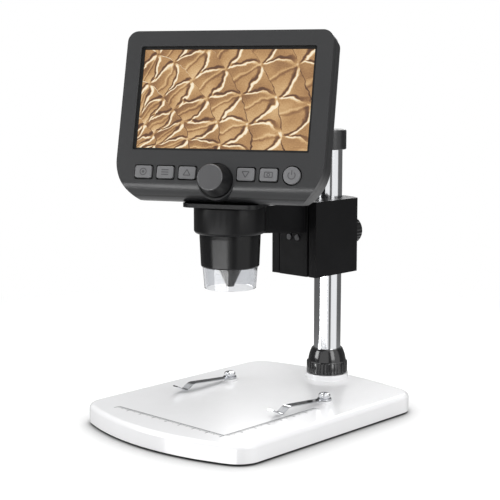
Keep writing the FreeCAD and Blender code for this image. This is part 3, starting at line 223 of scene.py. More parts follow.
def head_plastic(name):
    """Satin charcoal plastic with a dark moulded groove and seam round the head's side walls."""
    nodes = Nodes(name)
    depth = nodes.add("ShaderNodeVectorMath", operation="DOT_PRODUCT")
    nodes.link(nodes.place, depth.inputs[0])
    depth.inputs[1].default_value = -FACE_OUT
    inward = nodes.math("ADD", depth.outputs["Value"], FACE_OUT.dot(SCREEN_POINT))
    side_depth = 16.0 * MM
    share = nodes.math("DIVIDE", inward, side_depth)
    dark = mottled(CHARCOAL, -0.85)
    spread = 0.05
    low = (0.3, mottled(CHARCOAL, -spread))
    high = (0.7, mottled(CHARCOAL, spread))
    drift = nodes.ramp(nodes.noise(60.0, 3.0), low, high)
    plain = (1.0, 1.0, 1.0)
    line = (0.0, 0.0, 0.0)
    fade = 0.02
    stops = [(0.0, plain)]
    for start, end in ((0.12, 0.16), (0.475, 0.53)):
        stops += [(start - fade, plain), (start, line), (end, line), (end + fade, plain)]
    lines = nodes.ramp(share, *stops)
    tint = nodes.add("ShaderNodeMix", data_type="RGBA")
    nodes.link(lines, tint.inputs["Factor"])
    tint.inputs["A"].default_value = (*dark, 1)
    nodes.link(drift, tint.inputs["B"])
    nodes.link(tint.outputs["Result"], nodes.shader.inputs["Base Color"])
    nodes.link(nodes.span(nodes.noise(420.0, 5.0), 0.30, 0.42), nodes.shader.inputs["Roughness"])
    grain = nodes.math("MULTIPLY_ADD", nodes.noise(4200.0, 2.0), 0.25, lines)
    nodes.bump(grain, 0.5, 0.00012)
    return nodes.material


MATERIALS = {
    "white_shell": moulded("WhiteShell", (0.91, 0.91, 0.92), 0.22, 0.03, 1800.0, 0.01, coat=0.5),
    "base_under": moulded("UnderCover", (0.62, 0.62, 0.63), 0.5),
    "foot_rubber": moulded("FootRubber", (0.035, 0.035, 0.036), 0.8, 0.4),
    "steel_plate": metal("SteelPlate", (0.45, 0.46, 0.47), 0.35),
    "fixing_steel": metal("FixingSteel", (0.14, 0.14, 0.145), 0.3),
    "post_chrome": metal("PostChrome", (0.80, 0.81, 0.83), 0.10, (500.0, 500.0, 6.0), 0.05),
    "clip_chrome": metal("ClipChrome", (0.62, 0.63, 0.65), 0.09, (700.0, 40.0, 700.0), 0.1),
    "cap_plastic": moulded("CapPlastic", (0.012, 0.012, 0.013), 0.34, 0.15, coat=0.2),
    "collar_plastic": moulded("CollarPlastic", (0.008, 0.008, 0.009), 0.18, 0.05, coat=0.7),
    "liner_nylon": moulded("LinerNylon", (0.02, 0.02, 0.021), 0.5),
    "block_black": moulded("BlockBlack", (0.005, 0.005, 0.0055), 0.34, 0.3, 5200.0, 0.15, shine=0.2),
    "brass": metal("Brass", (0.72, 0.53, 0.24), 0.25),
    "knob_black": moulded("KnobBlack", (0.007, 0.007, 0.0075), 0.40, 0.25, shine=0.35),
    "head_grey": head_plastic("HeadGrey"),
    "head_black": moulded("HeadBlack", (0.006, 0.006, 0.0065), 0.30, 0.2, shine=0.3),
    "barrel_black": moulded("BarrelBlack", (0.005, 0.005, 0.0055), 0.24, 0.1, shine=0.28),
    "button_grey": moulded("ButtonGrey", (0.155, 0.155, 0.16), 0.36, 0.3, 5200.0),
    "wheel_grey": moulded("WheelGrey", (0.075, 0.075, 0.078), 0.30, 0.2, 3600.0),
    "screen": moulded("PanelFrame", (0.02, 0.02, 0.02), 0.3),
    "gasket_foam": moulded("GasketFoam", (0.006, 0.006, 0.006), 0.85, 0.6),
    "circuit_board": circuit("CircuitBoard"),
    "battery_wrap": moulded("BatteryWrap", (0.10, 0.12, 0.17), 0.3, 0.5, 700.0),
    "sensor_grey": moulded("SensorGrey", (0.05, 0.05, 0.06), 0.2),
    "clear_plastic": clear("ClearPlastic", (0.74, 0.75, 0.77), 0.03, 0.03),
    "lens_glass": clear("LensGlass", (0.93, 0.97, 0.98), 0.0, 0.01),
    "light_white": glowing("LightWhite", (1.0, 0.98, 0.94), 0.6),
}


# Mesh helpers
def new_piece(name, bm, material, body, replaces=()):
    """Turns a bmesh in the row frame into a smooth-shaded piece that rides on a body."""
    bmesh.ops.recalc_face_normals(bm, faces=bm.faces)
    mesh = bpy.data.meshes.new(name)
    bm.to_mesh(mesh)
    bm.free()
    piece = bpy.data.objects.new(name, mesh)
    bpy.context.scene.collection.objects.link(piece)
    mesh.materials.append(material)
    mesh.shade_smooth()
    mesh.set_sharp_from_angle(angle=math.radians(38))
    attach(piece, body)
    if replaces:
        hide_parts(*replaces)
    return piece


def softened(node, width, segments=3, limit=30.0):
    """A CAD node's own shape with its flat facets joined and its sharp edges rounded."""
    source = frame["nodes"][node]
    bm = bmesh.new()
    bm.from_mesh(source.data)
    bmesh.ops.remove_doubles(bm, verts=bm.verts, dist=2e-6)
    bmesh.ops.dissolve_limit(bm, angle_limit=math.radians(1.0), verts=bm.verts, edges=bm.edges)
    slot = slot_of_nodes[node]
    piece = new_piece(f"{node}_skin", bm, MATERIALS[slot], bodies_of_nodes[node], (node,))
    bevel = piece.modifiers.new("Edges", "BEVEL")
    bevel.width = width
    bevel.segments = segments
    bevel.limit_method = "ANGLE"
    bevel.angle_limit = math.radians(limit)
    bevel.use_clamp_overlap = True
    bevel.harden_normals = True
    return piece


def lathe(name, profile, place, material, body, replaces=(), turns=96, ridge=None):
    """A piece turned from radius and height pairs. A ridge rule may change a radius by turn and height."""
    bm = bmesh.new()
    rings = []
    for radius, height in profile:
        ring = []
        if radius <= 0:
            ring = [bm.verts.new(place @ Vector((0, 0, height)))] * turns
        else:
            for step in range(turns):
                angle = 2 * math.pi * step / turns
                r = radius + (ridge(step, radius, height) if ridge else 0.0)
                ring.append(bm.verts.new(place @ Vector((r * math.cos(angle), r * math.sin(angle), height))))
        rings.append(ring)
    for low, high in zip(rings, rings[1:]):
        for step in range(turns):
            after = (step + 1) % turns
            corners = []
            for vert in (low[step], low[after], high[after], high[step]):
                if vert not in corners:
                    corners.append(vert)
            if len(corners) > 2:
                bm.faces.new(corners)
    return new_piece(name, bm, material, body, replaces)


def slab(bm, outline, low, high, place):
    """Adds a closed prism on a flat outline between two heights."""
    bottom = [bm.verts.new(place @ Vector((x, y, low))) for x, y in outline]
    top = [bm.verts.new(place @ Vector((x, y, high))) for x, y in outline]
    bm.faces.new(top)
    bm.faces.new(bottom[::-1])
    count = len(outline)
    for index in range(count):
        after = (index + 1) % count
        bm.faces.new((bottom[index], bottom[after], top[after], top[index]))


def bar(left, low, right, high):
    return [(left, low), (right, low), (right, high), (left, high)]


def arc_points(x, y, radius, start, end, steps):
    """Points on an arc, from a start angle to an end angle in degrees."""
    return [
        (x + radius * math.cos(math.radians(start + (end - start) * step / steps)),
         y + radius * math.sin(math.radians(start + (end - start) * step / steps)))
        for step in range(steps + 1)
    ]


def rounded_bar(left, low, right, high, radius, steps=6):
    return (
        arc_points(right - radius, low + radius, radius, -90, 0, steps)
        + arc_points(right - radius, high - radius, radius, 0, 90, steps)
        + arc_points(left + radius, high - radius, radius, 90, 180, steps)
        + arc_points(left + radius, low + radius, radius, 180, 270, steps)
    )


def make_camera():
    """The photograph's view: where it stood, where it looked, and how long its lens was."""
    place = Vector((0.4594, POST_AXIS.y - 0.5583, 0.1917))
    yaw = math.radians(43.11)
    pitch = math.radians(8.21)
    focal_pixels = 1231.0
    photo_pixels = 500.0
    camera = bpy.data.cameras.new("Camera")
    camera.sensor_width = 36.0
    camera.lens = focal_pixels / photo_pixels * camera.sensor_width
    camera.clip_end = 50.0
    holder = bpy.data.objects.new("Camera", camera)
    bpy.context.scene.collection.objects.link(holder)
    holder.location = place
    holder.rotation_euler = (math.pi / 2 - pitch, 0, yaw)
    bpy.context.scene.camera = holder


def lamp(name, place, target, width, height, watts):
    light = bpy.data.lights.new(name, "AREA")
    light.shape = "RECTANGLE"
    light.size = width
    light.size_y = height
    light.energy = watts
    holder = bpy.data.objects.new(name, light)
    bpy.context.scene.collection.objects.link(holder)
    holder.location = place
    holder.rotation_euler = (Vector(target) - Vector(place)).to_track_quat("-Z", "Y").to_euler()
    holder.visible_camera = False


def either(tree, first, second):
    """The larger of two values."""
    node = tree.nodes.new("ShaderNodeMath")
    node.operation = "MAXIMUM"
    tree.links.new(first, node.inputs[0])
    tree.links.new(second, node.inputs[1])
    return node.outputs[0]


def make_world():
    """White behind the object and through glass, soft light on it, and in its reflections a white floor and
    ceiling with grey walls and two tall lit panels between them."""
    world = bpy.data.worlds.new("Studio")
    bpy.context.scene.world = world
    world.use_nodes = True
    tree = world.node_tree
    soft_light = 0.55
    wall = 0.13
    panel_fade = 0.012
    white_layers = 0.95
    path = tree.nodes.new("ShaderNodeLightPath")
    seen = either(tree, path.outputs["Is Camera Ray"], path.outputs["Is Transmission Ray"])
    place = tree.nodes.new("ShaderNodeTexCoord")
    around = tree.nodes.new("ShaderNodeTexGradient")
    around.gradient_type = "RADIAL"
    tree.links.new(place.outputs["Generated"], around.inputs["Vector"])
    panels = tree.nodes.new("ShaderNodeValToRGB")
    ends = panels.color_ramp.elements
    for element, spot in zip(ends, (0.0, 1.0)):
        element.position = spot
        element.color = (wall, wall, wall, 1)
    for low, high in PANELS:
        for spot, level in ((low - panel_fade, wall), (low, 1.0), (high, 1.0), (high + panel_fade, wall)):
            ends.new(spot).color = (level, level, level, 1)
    tree.links.new(around.outputs["Fac"], panels.inputs["Fac"])
    split = tree.nodes.new("ShaderNodeSeparateXYZ")
    tree.links.new(place.outputs["Generated"], split.inputs["Vector"])
    shift = tree.nodes.new("ShaderNodeMapRange")
    shift.inputs["From Min"].default_value = -1.0
    tree.links.new(split.outputs["Z"], shift.inputs["Value"])
    layers = tree.nodes.new("ShaderNodeValToRGB")
    ends = layers.color_ramp.elements
    floor_ends, walls_start, walls_end, ceiling_starts = 0.30, 0.40, 0.78, 0.88
    ends[0].position = floor_ends
    ends[0].color = (1, 1, 1, 1)
    ends[1].position = walls_start
    ends[1].color = (0, 0, 0, 1)
    ends.new(walls_end).color = (0, 0, 0, 1)
    ends.new(ceiling_starts).color = (1, 1, 1, 1)
    tree.links.new(shift.outputs["Result"], layers.inputs["Fac"])

    def mix(factor, first, second):
        node = tree.nodes.new("ShaderNodeMix")
        node.data_type = "RGBA"
        tree.links.new(factor, node.inputs["Factor"])
        for socket, value in (("A", first), ("B", second)):
            if isinstance(value, float):
                node.inputs[socket].default_value = (value, value, value, 1)
            else:
                tree.links.new(value, node.inputs[socket])
        return node.outputs["Result"]

    room = mix(layers.outputs["Color"], panels.outputs["Color"], white_layers)
    light = mix(path.outputs["Is Glossy Ray"], soft_light, room)
    tree.links.new(mix(seen, light, 1.0), tree.nodes["Background"].inputs["Color"])


def make_floor():
    """A pale floor that looks white and keeps the object's shadow, with painted shade: ambient occlusion darkens
    its colour close to the object.
    """
    half = 6.0
    thickness = 0.02
    under_feet = 0.0001
    shadow_reach = 0.16
    white_reach = 0.42
    painted_shade_reach = 0.03
    grey_for_light = 0.70
    grey_as_seen = 0.95
    bm = bmesh.new()
    slab(bm, bar(-half, -half, half, half), -thickness, -under_feet, Matrix())
    mesh = bpy.data.meshes.new("Floor")
    bm.to_mesh(mesh)
    bm.free()
    floor = bpy.data.objects.new("Floor", mesh)
    bpy.context.scene.collection.objects.link(floor)
    material = bpy.data.materials.new("FloorWhite")
    material.use_nodes = True
    tree = material.node_tree
    path = tree.nodes.new("ShaderNodeLightPath")
    seen = either(tree, path.outputs["Is Camera Ray"], path.outputs["Is Glossy Ray"])
    seen = either(tree, seen, path.outputs["Is Transmission Ray"])
    place = tree.nodes.new("ShaderNodeTexCoord")
    reach = tree.nodes.new("ShaderNodeVectorMath")
    reach.operation = "LENGTH"
    tree.links.new(place.outputs["Object"], reach.inputs[0])
    spread = tree.nodes.new("ShaderNodeMapRange")
    spread.inputs["From Min"].default_value = shadow_reach
    spread.inputs["From Max"].default_value = white_reach
    spread.interpolation_type = "SMOOTHSTEP"
    tree.links.new(reach.outputs["Value"], spread.inputs["Value"])
    tint = tree.nodes.new("ShaderNodeMix")
    tint.data_type = "RGBA"
    tint.inputs["A"].default_value = (grey_for_light, grey_for_light, grey_for_light, 1)
    tint.inputs["B"].default_value = (grey_as_seen, grey_as_seen, grey_as_seen, 1)
    tree.links.new(seen, tint.inputs["Factor"])
    shader = tree.nodes["Principled BSDF"]
    # Painted shade: ambient occlusion darkens the floor's colour where it nears the object
    painted_contact_shade = tree.nodes.new("ShaderNodeAmbientOcclusion")
    painted_contact_shade.inputs["Distance"].default_value = painted_shade_reach
    painted_contact_shade.samples = 16
    tree.links.new(tint.outputs["Result"], painted_contact_shade.inputs["Color"])
    tree.links.new(painted_contact_shade.outputs["Color"], shader.inputs["Base Color"])
    shader.inputs["Roughness"].default_value = 1.0
    shader.inputs["Specular IOR Level"].default_value = 0.0
    far = tree.nodes.new("ShaderNodeMath")
    far.operation = "MULTIPLY"
    tree.links.new(seen, far.inputs[0])
    tree.links.new(spread.outputs["Result"], far.inputs[1])
    white = tree.nodes.new("ShaderNodeEmission")
    blend = tree.nodes.new("ShaderNodeMixShader")
    tree.links.new(far.outputs[0], blend.inputs[0])
    tree.links.new(shader.outputs[0], blend.inputs[1])
    tree.links.new(white.outputs[0], blend.inputs[2])
    tree.links.new(blend.outputs[0], tree.nodes["Material Output"].inputs["Surface"])
    mesh.materials.append(material)
    floor.visible_glossy = False


def make_lamps():
    middle = (0.0, -0.02, 0.12)
    lamp("KeyLeft", (-0.62, -0.95, 0.40), middle, width=0.5, height=0.5, watts=5.0)
    lamp("SideRight", (0.95, -0.15, 0.5), middle, width=0.4, height=0.8, watts=3.5)
    lamp("Above", (0.0, 0.05, 1.1), middle, width=0.9, height=0.9, watts=6.5)
    chin = (FACE_OUT * math.cos(CHIN_TURN) - FACE_UP * math.sin(CHIN_TURN)).normalized()
    toward = (bpy.context.scene.camera.location - SCREEN_POINT).normalized()
    chin_lamp_reach = 0.8
    glow = SCREEN_POINT + (chin * (2 * chin.dot(toward)) - toward) * chin_lamp_reach
    lamp("ChinGlow", glow, SCREEN_POINT, width=0.9, height=0.2, watts=4.2)
    lamp("Behind", (-0.5, 0.8, 0.6), middle, width=0.5, height=0.5, watts=3.0)


def make_screen():
    """A lit close-up of struck bronze: rows of raised scallops round a far corner, with a beaded rim."""
    bend_reach = 0.34
    far_corner = (2.35, 1.25)
    rows_per_unit = 1.55
    scallops_per_radian = 5.2
    arch_fall = -3.1
    arch_top = 0.93
    side_step = 0.03
    brightness = 0.92
    nodes = Nodes("ScreenPicture")
    corner = nodes.add("ShaderNodeUVMap")
    nodes.place = corner.outputs["UV"]
    wobble = nodes.add("ShaderNodeTexNoise")
    wobble.inputs["Scale"].default_value = 2.2
    wobble.inputs["Detail"].default_value = 3.0
    nodes.link(nodes.place, wobble.inputs["Vector"])
    bent = nodes.add("ShaderNodeVectorMath", operation="MULTIPLY_ADD")
    nodes.link(wobble.outputs["Color"], bent.inputs[0])
    bent.inputs[1].default_value = (bend_reach, bend_reach, 0.0)
    nodes.link(nodes.place, bent.inputs[2])

    def relief(shift):
        """The height of the struck surface, seen a little to one side."""
        move = nodes.add("ShaderNodeVectorMath", operation="ADD")
        nodes.link(bent.outputs["Vector"], move.inputs[0])
        move.inputs[1].default_value = (far_corner[0] + shift, far_corner[1] - shift, 0.0)
        split = nodes.add("ShaderNodeSeparateXYZ")
        nodes.link(move.outputs["Vector"], split.inputs["Vector"])
        x = split.outputs["X"]
        y = split.outputs["Y"]
        squares = nodes.math("ADD", nodes.math("MULTIPLY", x, x), nodes.math("MULTIPLY", y, y))
        rows = nodes.math("MULTIPLY", nodes.math("SQRT", squares), rows_per_unit)
        row = nodes.math("FLOOR", rows)
        turn = nodes.math("MULTIPLY", nodes.math("ARCTAN2", y, x), scallops_per_radian)
        across = nodes.math("SUBTRACT", nodes.math("FRACT", nodes.math("MULTIPLY_ADD", row, 0.5, turn)), 0.5)
        arch = nodes.math("MULTIPLY_ADD", nodes.math("MULTIPLY", across, across), arch_fall, arch_top)
        inside = nodes.math("SUBTRACT", arch, nodes.math("FRACT", rows))
        edge = nodes.math("ABSOLUTE", inside)
        outside_rim = nodes.math("SMOOTH_MIN", nodes.math("MULTIPLY", edge, 7.0), 1.0, 0.4)
        rim = nodes.math("SUBTRACT", 1.0, outside_rim)
        vein = nodes.math("ABSOLUTE", across)
        beside_vein = nodes.math("MINIMUM", nodes.math("MULTIPLY", vein, 16.0), 1.0)
        groove = nodes.math("SUBTRACT", 1.0, beside_vein)
        body = nodes.math("MULTIPLY", nodes.math("MAXIMUM", inside, 0.0), 0.55)
        high = nodes.math("MULTIPLY_ADD", rim, 0.62, body)
        return nodes.math("MULTIPLY_ADD", groove, -0.16, high), rim

    near, rim = relief(0.0)
    far = relief(side_step)[0]
    slope = nodes.math("SUBTRACT", near, far)
    grain = nodes.add("ShaderNodeTexNoise")
    grain.inputs["Scale"].default_value = 42.0
    grain.inputs["Detail"].default_value = 5.0
    nodes.link(nodes.place, grain.inputs["Vector"])
    cloud = nodes.add("ShaderNodeTexNoise")
    cloud.inputs["Scale"].default_value = 1.3
    cloud.inputs["Detail"].default_value = 2.0
    nodes.link(nodes.place, cloud.inputs["Vector"])
    tone = nodes.math("MULTIPLY_ADD", slope, 1.5, 0.46)
    tone = nodes.math("MULTIPLY_ADD", nodes.math("SUBTRACT", grain.outputs["Fac"], 0.5), 0.42, tone)
    tone = nodes.math("MULTIPLY_ADD", nodes.math("SUBTRACT", cloud.outputs["Fac"], 0.5), 0.7, tone)
    tone = nodes.math("MULTIPLY_ADD", nodes.math("MULTIPLY", rim, rim), 0.10, tone)
    color = nodes.ramp(
        tone,
        (0.0, (0.10, 0.035, 0.010)),
        (0.3, (0.27, 0.125, 0.042)),
        (0.5, (0.50, 0.275, 0.105)),
        (0.72, (0.74, 0.49, 0.235)),
        (1.0, (1.0, 0.88, 0.66)),
    )
    nodes.link(color, nodes.shader.inputs["Emission Color"])
    nodes.shader.inputs["Emission Strength"].default_value = brightness
    nodes.shader.inputs["Base Color"].default_value = (0.01, 0.008, 0.006, 1)
    nodes.shader.inputs["Roughness"].default_value = 0.25
    half_wide = 47.4 * MM
    half_high = 26.8 * MM
    bm = bmesh.new()
    slab(bm, bar(-half_wide, -half_high, half_wide, half_high), 0.02 * MM, 0.25 * MM, FACE)
    layer = bm.loops.layers.uv.new("UVMap")
    for face in bm.faces:
        for loop in face.loops:
            local = FACE.inverted() @ loop.vert.co
            loop[layer].uv = (local.x / half_high, local.y / half_high)
    new_piece("screen_picture", bm, nodes.material, "head")


def make_ruler():
    """The printed corner ruler on the stage: two arms with a tick every millimetre, longer at tens."""
    ink = moulded("RulerInk", (0.12, 0.125, 0.13), 0.5, spread=0.15)
    corner = Vector((40.3 * MM, POST_AXIS.y - 129.6 * MM, STAGE_TOP))
    line = 0.6 * MM
    fine = 0.34 * MM
    bm = bmesh.new()
    place = Matrix.Translation(corner)

    def mark(left, low, right, high):
        slab(bm, bar(left, low, right, high), -0.01 * MM, 0.03 * MM, place)

    def tick(step):
        if step % 10 == 0:
            return line, 3.4 * MM
        if step % 5 == 0:
            return fine, 2.4 * MM
        return fine, 1.7 * MM

    across = 80
    back = 70
    mark(-across * MM, -line / 2, line / 2, line / 2)
    mark(-line / 2, line / 2, line / 2, back * MM)
    for step in range(across + 1):
        x = -step * MM
        wide, long = tick(step)
        mark(x - wide / 2, -line / 2 - long, x + wide / 2, -line / 2)
    for step in range(1, back + 1):
        y = step * MM
        wide, long = tick(step)
        mark(line / 2, y - wide / 2, line / 2 + long, y + wide / 2)
    new_piece("stage_ruler", bm, ink, "base")


def make_collar():
    low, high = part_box("lock_collar")
    bottom, top = low.z, high.z
    bore = 8.05 * MM
    skirt = 12.15 * MM
    skirt_high = 7.2 * MM
    neck = 9.2 * MM
    flutes = 36
    flute_depth = 0.5 * MM
    steps_per_flute = 6

    def ridge(step, radius, height):
        if radius < skirt - 0.3 * MM or height > bottom + skirt_high:
            return 0.0
        return -flute_depth if step % steps_per_flute in (0, 1) else 0.0

    profile = [(bore, bottom), (skirt - 0.7 * MM, bottom), (skirt, bottom + 0.5 * MM),
               (skirt, bottom + skirt_high - 0.9 * MM), (skirt - 0.35 * MM, bottom + skirt_high - 0.3 * MM),
               (skirt - 0.9 * MM, bottom + skirt_high)]
    for step in range(1, 9):
        share = step / 8
        bulge = 0.35 * MM * math.sin(math.pi * share)
        profile.append((skirt - 0.9 * MM + (neck - skirt + 0.9 * MM) * share + bulge,
                        bottom + skirt_high + (top - 0.3 * MM - bottom - skirt_high) * share))
    profile += [(neck - 0.3 * MM, top), (bore, top)]
    lathe("collar_turned", profile, POST, MATERIALS["collar_plastic"], "collar",
          ("lock_collar",), turns=flutes * steps_per_flute, ridge=ridge)


def knob(name, node, body, slot, place, radius, length, flutes):
    """A hand knob with flutes round its side and a dished end, built along local Z."""
    flute_depth = 0.45 * MM
    steps_per_flute = 6

    def ridge(step, r, height):
        if r < radius - 0.25 * MM:
            return 0.0
        return -flute_depth * (0.5 + 0.5 * math.cos(2 * math.pi * step / steps_per_flute))

    profile = [(0.0, 0.0), (radius - 0.8 * MM, 0.0), (radius - 0.1 * MM, 0.6 * MM),
               (radius - 0.02 * MM, length * 0.5), (radius - 0.1 * MM, length - 0.9 * MM),
               (radius - 0.5 * MM, length - 0.3 * MM), (radius - 1.1 * MM, length),
               (radius - 2.0 * MM, length - 0.05 * MM), (radius - 2.3 * MM, length - 0.5 * MM),
               (radius * 0.4, length - 0.6 * MM), (0.0, length - 0.55 * MM)]
    turns = flutes * steps_per_flute
    lathe(name, profile, place, MATERIALS[slot], body, (node,), turns=turns, ridge=ridge)


def make_knobs():
    right = Vector((1, 0, 0))
    back = Vector((0, 1, 0))
    up = Vector((0, 0, 1))
    clamp_radius = 8.6 * MM
    focus_radius = 7.0 * MM
    low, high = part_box("clamp_knob")
    middle = (low + high) / 2
    place = axes(Vector((middle.x, low.y, middle.z)), right, -up, back)
    knob("clamp_knob_turned", "clamp_knob", "clamp", "knob_black", place, clamp_radius, high.y - low.y, 26)
    low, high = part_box("focus_knob")
    middle = (low + high) / 2
    place = axes(Vector((high.x, middle.y, middle.z)), back, up, -right)
    knob("focus_knob_turned", "focus_knob", "pinion", "knob_black", place, focus_radius, high.x - low.x, 24)


def make_wheel():
    """The tapered front wheel, with a soft edge and a slightly dished face; its side is painted near-black as
    shade and its face a lighter grey as light.
    """
    base = 8.9 * MM
    face = 7.0 * MM
    near = 1.1 * MM
    far = near + 11.0 * MM
    profile = [(0.0, near), (base, near), (base, near + 1.0 * MM), (base - 0.12 * MM, near + 1.3 * MM)]
    for step in range(1, 7):
        share = step / 6
        profile.append((base - 0.12 * MM + (face + 0.25 * MM - base) * share,
                        near + 1.3 * MM + (far - 1.2 * MM - near - 1.3 * MM) * share))
    profile += [(face + r * MM, far - d * MM) for r, d in
                ((0.1, 0.75), (-0.1, 0.4), (-0.4, 0.14), (-0.75, 0.02), (-1.2, 0.05), (-3.5, 0.3))]
    profile.append((0.0, far - 0.42 * MM))
    wheel = lathe("front_wheel", profile, WHEEL, MATERIALS["wheel_grey"], "wheel",
                  ("focus_wheel",), 128)
    # Painted light and shade: the side faces get the near-black knob material as shade, the end face keeps the
    # lighter grey as lit
    wheel.data.materials.append(MATERIALS["knob_black"])
    outward = WHEEL.inverted()
    for polygon in wheel.data.polygons:
        polygon.material_index = int((outward @ polygon.center).z < far - 0.5 * MM)


def strip_along(points, thick, place):
    """A flat strip of metal that follows side-view points, with its thickness square to them."""
    bm = bmesh.new()
    rings = []
    for index, (reach, high, half) in enumerate(points):
        before = points[max(index - 1, 0)]
        after = points[min(index + 1, len(points) - 1)]
        way = Vector((0, -(after[0] - before[0]), after[1] - before[1])).normalized()
        up = Vector((0, way.z, -way.y))
        middle = Vector((0, -reach, high))
        rim = 0.12 * MM
        ring = []
        for x, z in ((-half, rim), (-half + rim, 0), (half - rim, 0), (half, rim), (half, thick - rim),
                     (half - rim, thick), (-half + rim, thick), (-half, thick - rim)):
            ring.append(bm.verts.new(place @ (middle + Vector((x, 0, 0)) + up * z)))
        rings.append(ring)
    for low, high in zip(rings, rings[1:]):
        for step in range(8):
            after = (step + 1) % 8
            bm.faces.new((low[step], low[after], high[after], high[step]))
    bm.faces.new(rings[0])
    bm.faces.new(rings[-1])
    return bm


def smooth_path(corners, radius, steps=5):
    """Side-view corners with each inner bend rounded."""
    points = [corners[0]]
    for before, here, after in zip(corners, corners[1:], corners[2:]):
        a = Vector(before)
        b = Vector(here)
        c = Vector(after)
        reach = min(radius, (a - b).length * 0.45, (c - b).length * 0.45)
        start = b + (a - b).normalized() * reach
        end = b + (c - b).normalized() * reach
        for step in range(steps + 1):
            share = step / steps
            points.append(tuple(start.lerp(b, share).lerp(b.lerp(end, share), share)))
    points.append(corners[-1])
    return points


def make_clips():
    """Chrome spring strips that arch to a bend, press down at a toe and lift at the tip."""
    half_width = 2.5 * MM
    eye_radius = 3.9 * MM
    taper_reach = 42.8 * MM
    taper = 0.35
    for side in ("left", "right"):
        pin_low, pin_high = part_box(f"{side}_clip_pin")
        middle = (pin_low + pin_high) / 2
        eye_low = STAGE_TOP + 1.5 * MM
        thick = 0.7 * MM
        place = Matrix.Translation((middle.x, middle.y, 0))
        corners = [(-3.0 * MM, eye_low), (4.0 * MM, eye_low), (32.0 * MM, STAGE_TOP + 3.7 * MM),
                   (37.7 * MM, STAGE_TOP + 0.32 * MM), (44.7 * MM, STAGE_TOP + 4.2 * MM)]
        path = []
        for reach, up in smooth_path(corners, 2.2 * MM):
            half = half_width
            if reach < 0:
                half = math.sqrt(max(eye_radius**2 - reach * reach, 1e-8))
            if reach > taper_reach:
                half = half_width - (reach - taper_reach) * taper
            path.append((reach, up, half))
        bm = strip_along(path, thick, place)
        slab(bm, arc_points(0, 0, 3.95 * MM, 0, 352.5, 47), eye_low, eye_low + thick, place)
        new_piece(f"{side}_clip_strip", bm, MATERIALS["clip_chrome"], f"{side}_clip",
                  (f"{side}_clip_spring",))
        knob_low = eye_low + thick
        radius = 3.2 * MM
        flutes = 28

        def ridge(step, r, height, limit=radius):
            return -0.16 * MM if r > limit - 0.1 * MM and step % 4 in (0, 1) else 0.0

        pin = 1.5 * MM
        profile = [(0.0, pin_low.z), (pin, pin_low.z), (pin, knob_low), (radius - 0.3 * MM, knob_low),
                   (radius, knob_low + 0.3 * MM), (radius, pin_high.z - 0.8 * MM),
                   (radius - 0.35 * MM, pin_high.z - 0.35 * MM), (radius - 1.1 * MM, pin_high.z - 0.05 * MM),
                   (0.0, pin_high.z)]
        lathe(f"{side}_clip_knob", profile, place, MATERIALS["clip_chrome"], f"{side}_clip",
              (f"{side}_clip_pin",), turns=flutes * 4, ridge=ridge)


def ring_outline(bm, radius, line, start, end, x, y, low, high, place, steps=28):
    """An arc-shaped stroke, for printed symbols."""
    outer = arc_points(x, y, radius + line / 2, start, end, steps)
    inner = arc_points(x, y, radius - line / 2, start, end, steps)
    for index in range(steps):
        slab(bm, [inner[index], outer[index], outer[index + 1], inner[index + 1]], low, high, place)


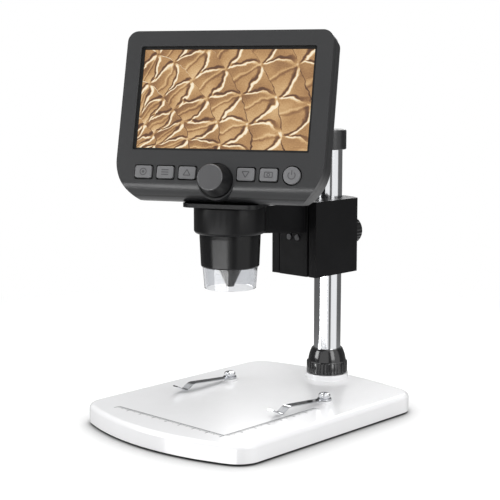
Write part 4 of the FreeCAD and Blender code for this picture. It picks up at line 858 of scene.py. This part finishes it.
def make_symbols():
    """Plain symbols printed on the six buttons."""
    ink = moulded("SymbolInk", (0.05, 0.05, 0.052), 0.5, spread=0.1)
    low = 2.98 * MM
    high = 3.03 * MM
    row = -40.3 * MM
    line = 0.5 * MM
    first = 16.2 * MM
    pitch = 12.4 * MM
    left = [-first - step * pitch for step in (2, 1, 0)]
    right = [first + step * pitch for step in (0, 1, 2)]
    for name, x in zip(("record", "menu", "up", "down", "capture", "power"), left + right):
        bm = bmesh.new()
        if name == "record":
            ring_outline(bm, 1.75 * MM, line, 0, 360, x, row, low, high, FACE)
            slab(bm, arc_points(x, row, 0.75 * MM, 0, 345, 23), low, high, FACE)
        elif name == "menu":
            for step in (-1, 0, 1):
                y = row + step * 1.25 * MM
                slab(bm, bar(x - 2.0 * MM, y - line / 2, x + 2.0 * MM, y + line / 2), low, high, FACE)
        elif name in ("up", "down"):
            sign = 1 if name == "up" else -1
            tip = (x, row + sign * 1.7 * MM)
            foot = row - sign * 1.35 * MM
            near = (x - 1.9 * MM, foot)
            far = (x + 1.9 * MM, foot)
            for start, end in ((near, tip), (tip, far), (far, near)):
                a = Vector(start)
                b = Vector(end)
                side = (b - a).normalized().orthogonal() * line / 2
                slab(bm, [tuple(end) for end in (a - side, b - side, b + side, a + side)], low, high, FACE)
        elif name == "capture":
            outer = rounded_bar(x - 2.4 * MM, row - 1.6 * MM, x + 2.4 * MM, row + 1.6 * MM, 0.6 * MM)
            inner = rounded_bar(x - 2.4 * MM + line, row - 1.6 * MM + line, x + 2.4 * MM - line,
                                row + 1.6 * MM - line, 0.3 * MM)
            for index in range(len(outer)):
                after = (index + 1) % len(outer)
                slab(bm, [inner[index], outer[index], outer[after], inner[after]], low, high, FACE)
            ring_outline(bm, 0.75 * MM, line * 0.9, 0, 360, x, row, low, high, FACE)
        else:
            ring_outline(bm, 1.9 * MM, line, -230, 50, x, row, low, high, FACE)
            slab(bm, bar(x - line / 2, row + 0.3 * MM, x + line / 2, row + 2.7 * MM), low, high, FACE)
        new_piece(f"{name}_symbol", bm, ink, f"button_{name}")


def carry_materials():
    """Every CAD node that still shows gets its slot's material."""
    for node, item in frame["nodes"].items():
        item.data.materials.clear()
        item.data.materials.append(MATERIALS[slot_of_nodes[node]])
        item.data.shade_smooth()
        item.data.set_sharp_from_angle(angle=math.radians(32))


bpy.context.scene.view_settings.view_transform = "Standard"
carry_materials()
make_camera()
make_world()
make_floor()
make_lamps()
softened("front_bezel", 0.9 * MM, 4)
softened("rear_cover", 1.4 * MM, 4)
softened("neck_housing", 0.8 * MM, 3)
softened("stage_block", 0.35 * MM, 2)
softened("slide_carriage", 0.3 * MM, 2)
softened("arm_bracket", 0.5 * MM, 3)
for button_name in ("record", "menu", "up", "down", "capture", "power"):
    cap = softened(f"button_{button_name}", 0.35 * MM, 3)
    # Painted shade: each cap's lower sides and flange get the near-black foam material so the gap round the button
    # looks dark
    cap.data.materials.append(MATERIALS["gasket_foam"])
    for polygon in cap.data.polygons:
        polygon.material_index = int((FACE.inverted() @ polygon.center).z < 1.4 * MM)
make_screen()
make_ruler()
make_collar()
make_knobs()
make_wheel()
make_clips()
make_symbols()
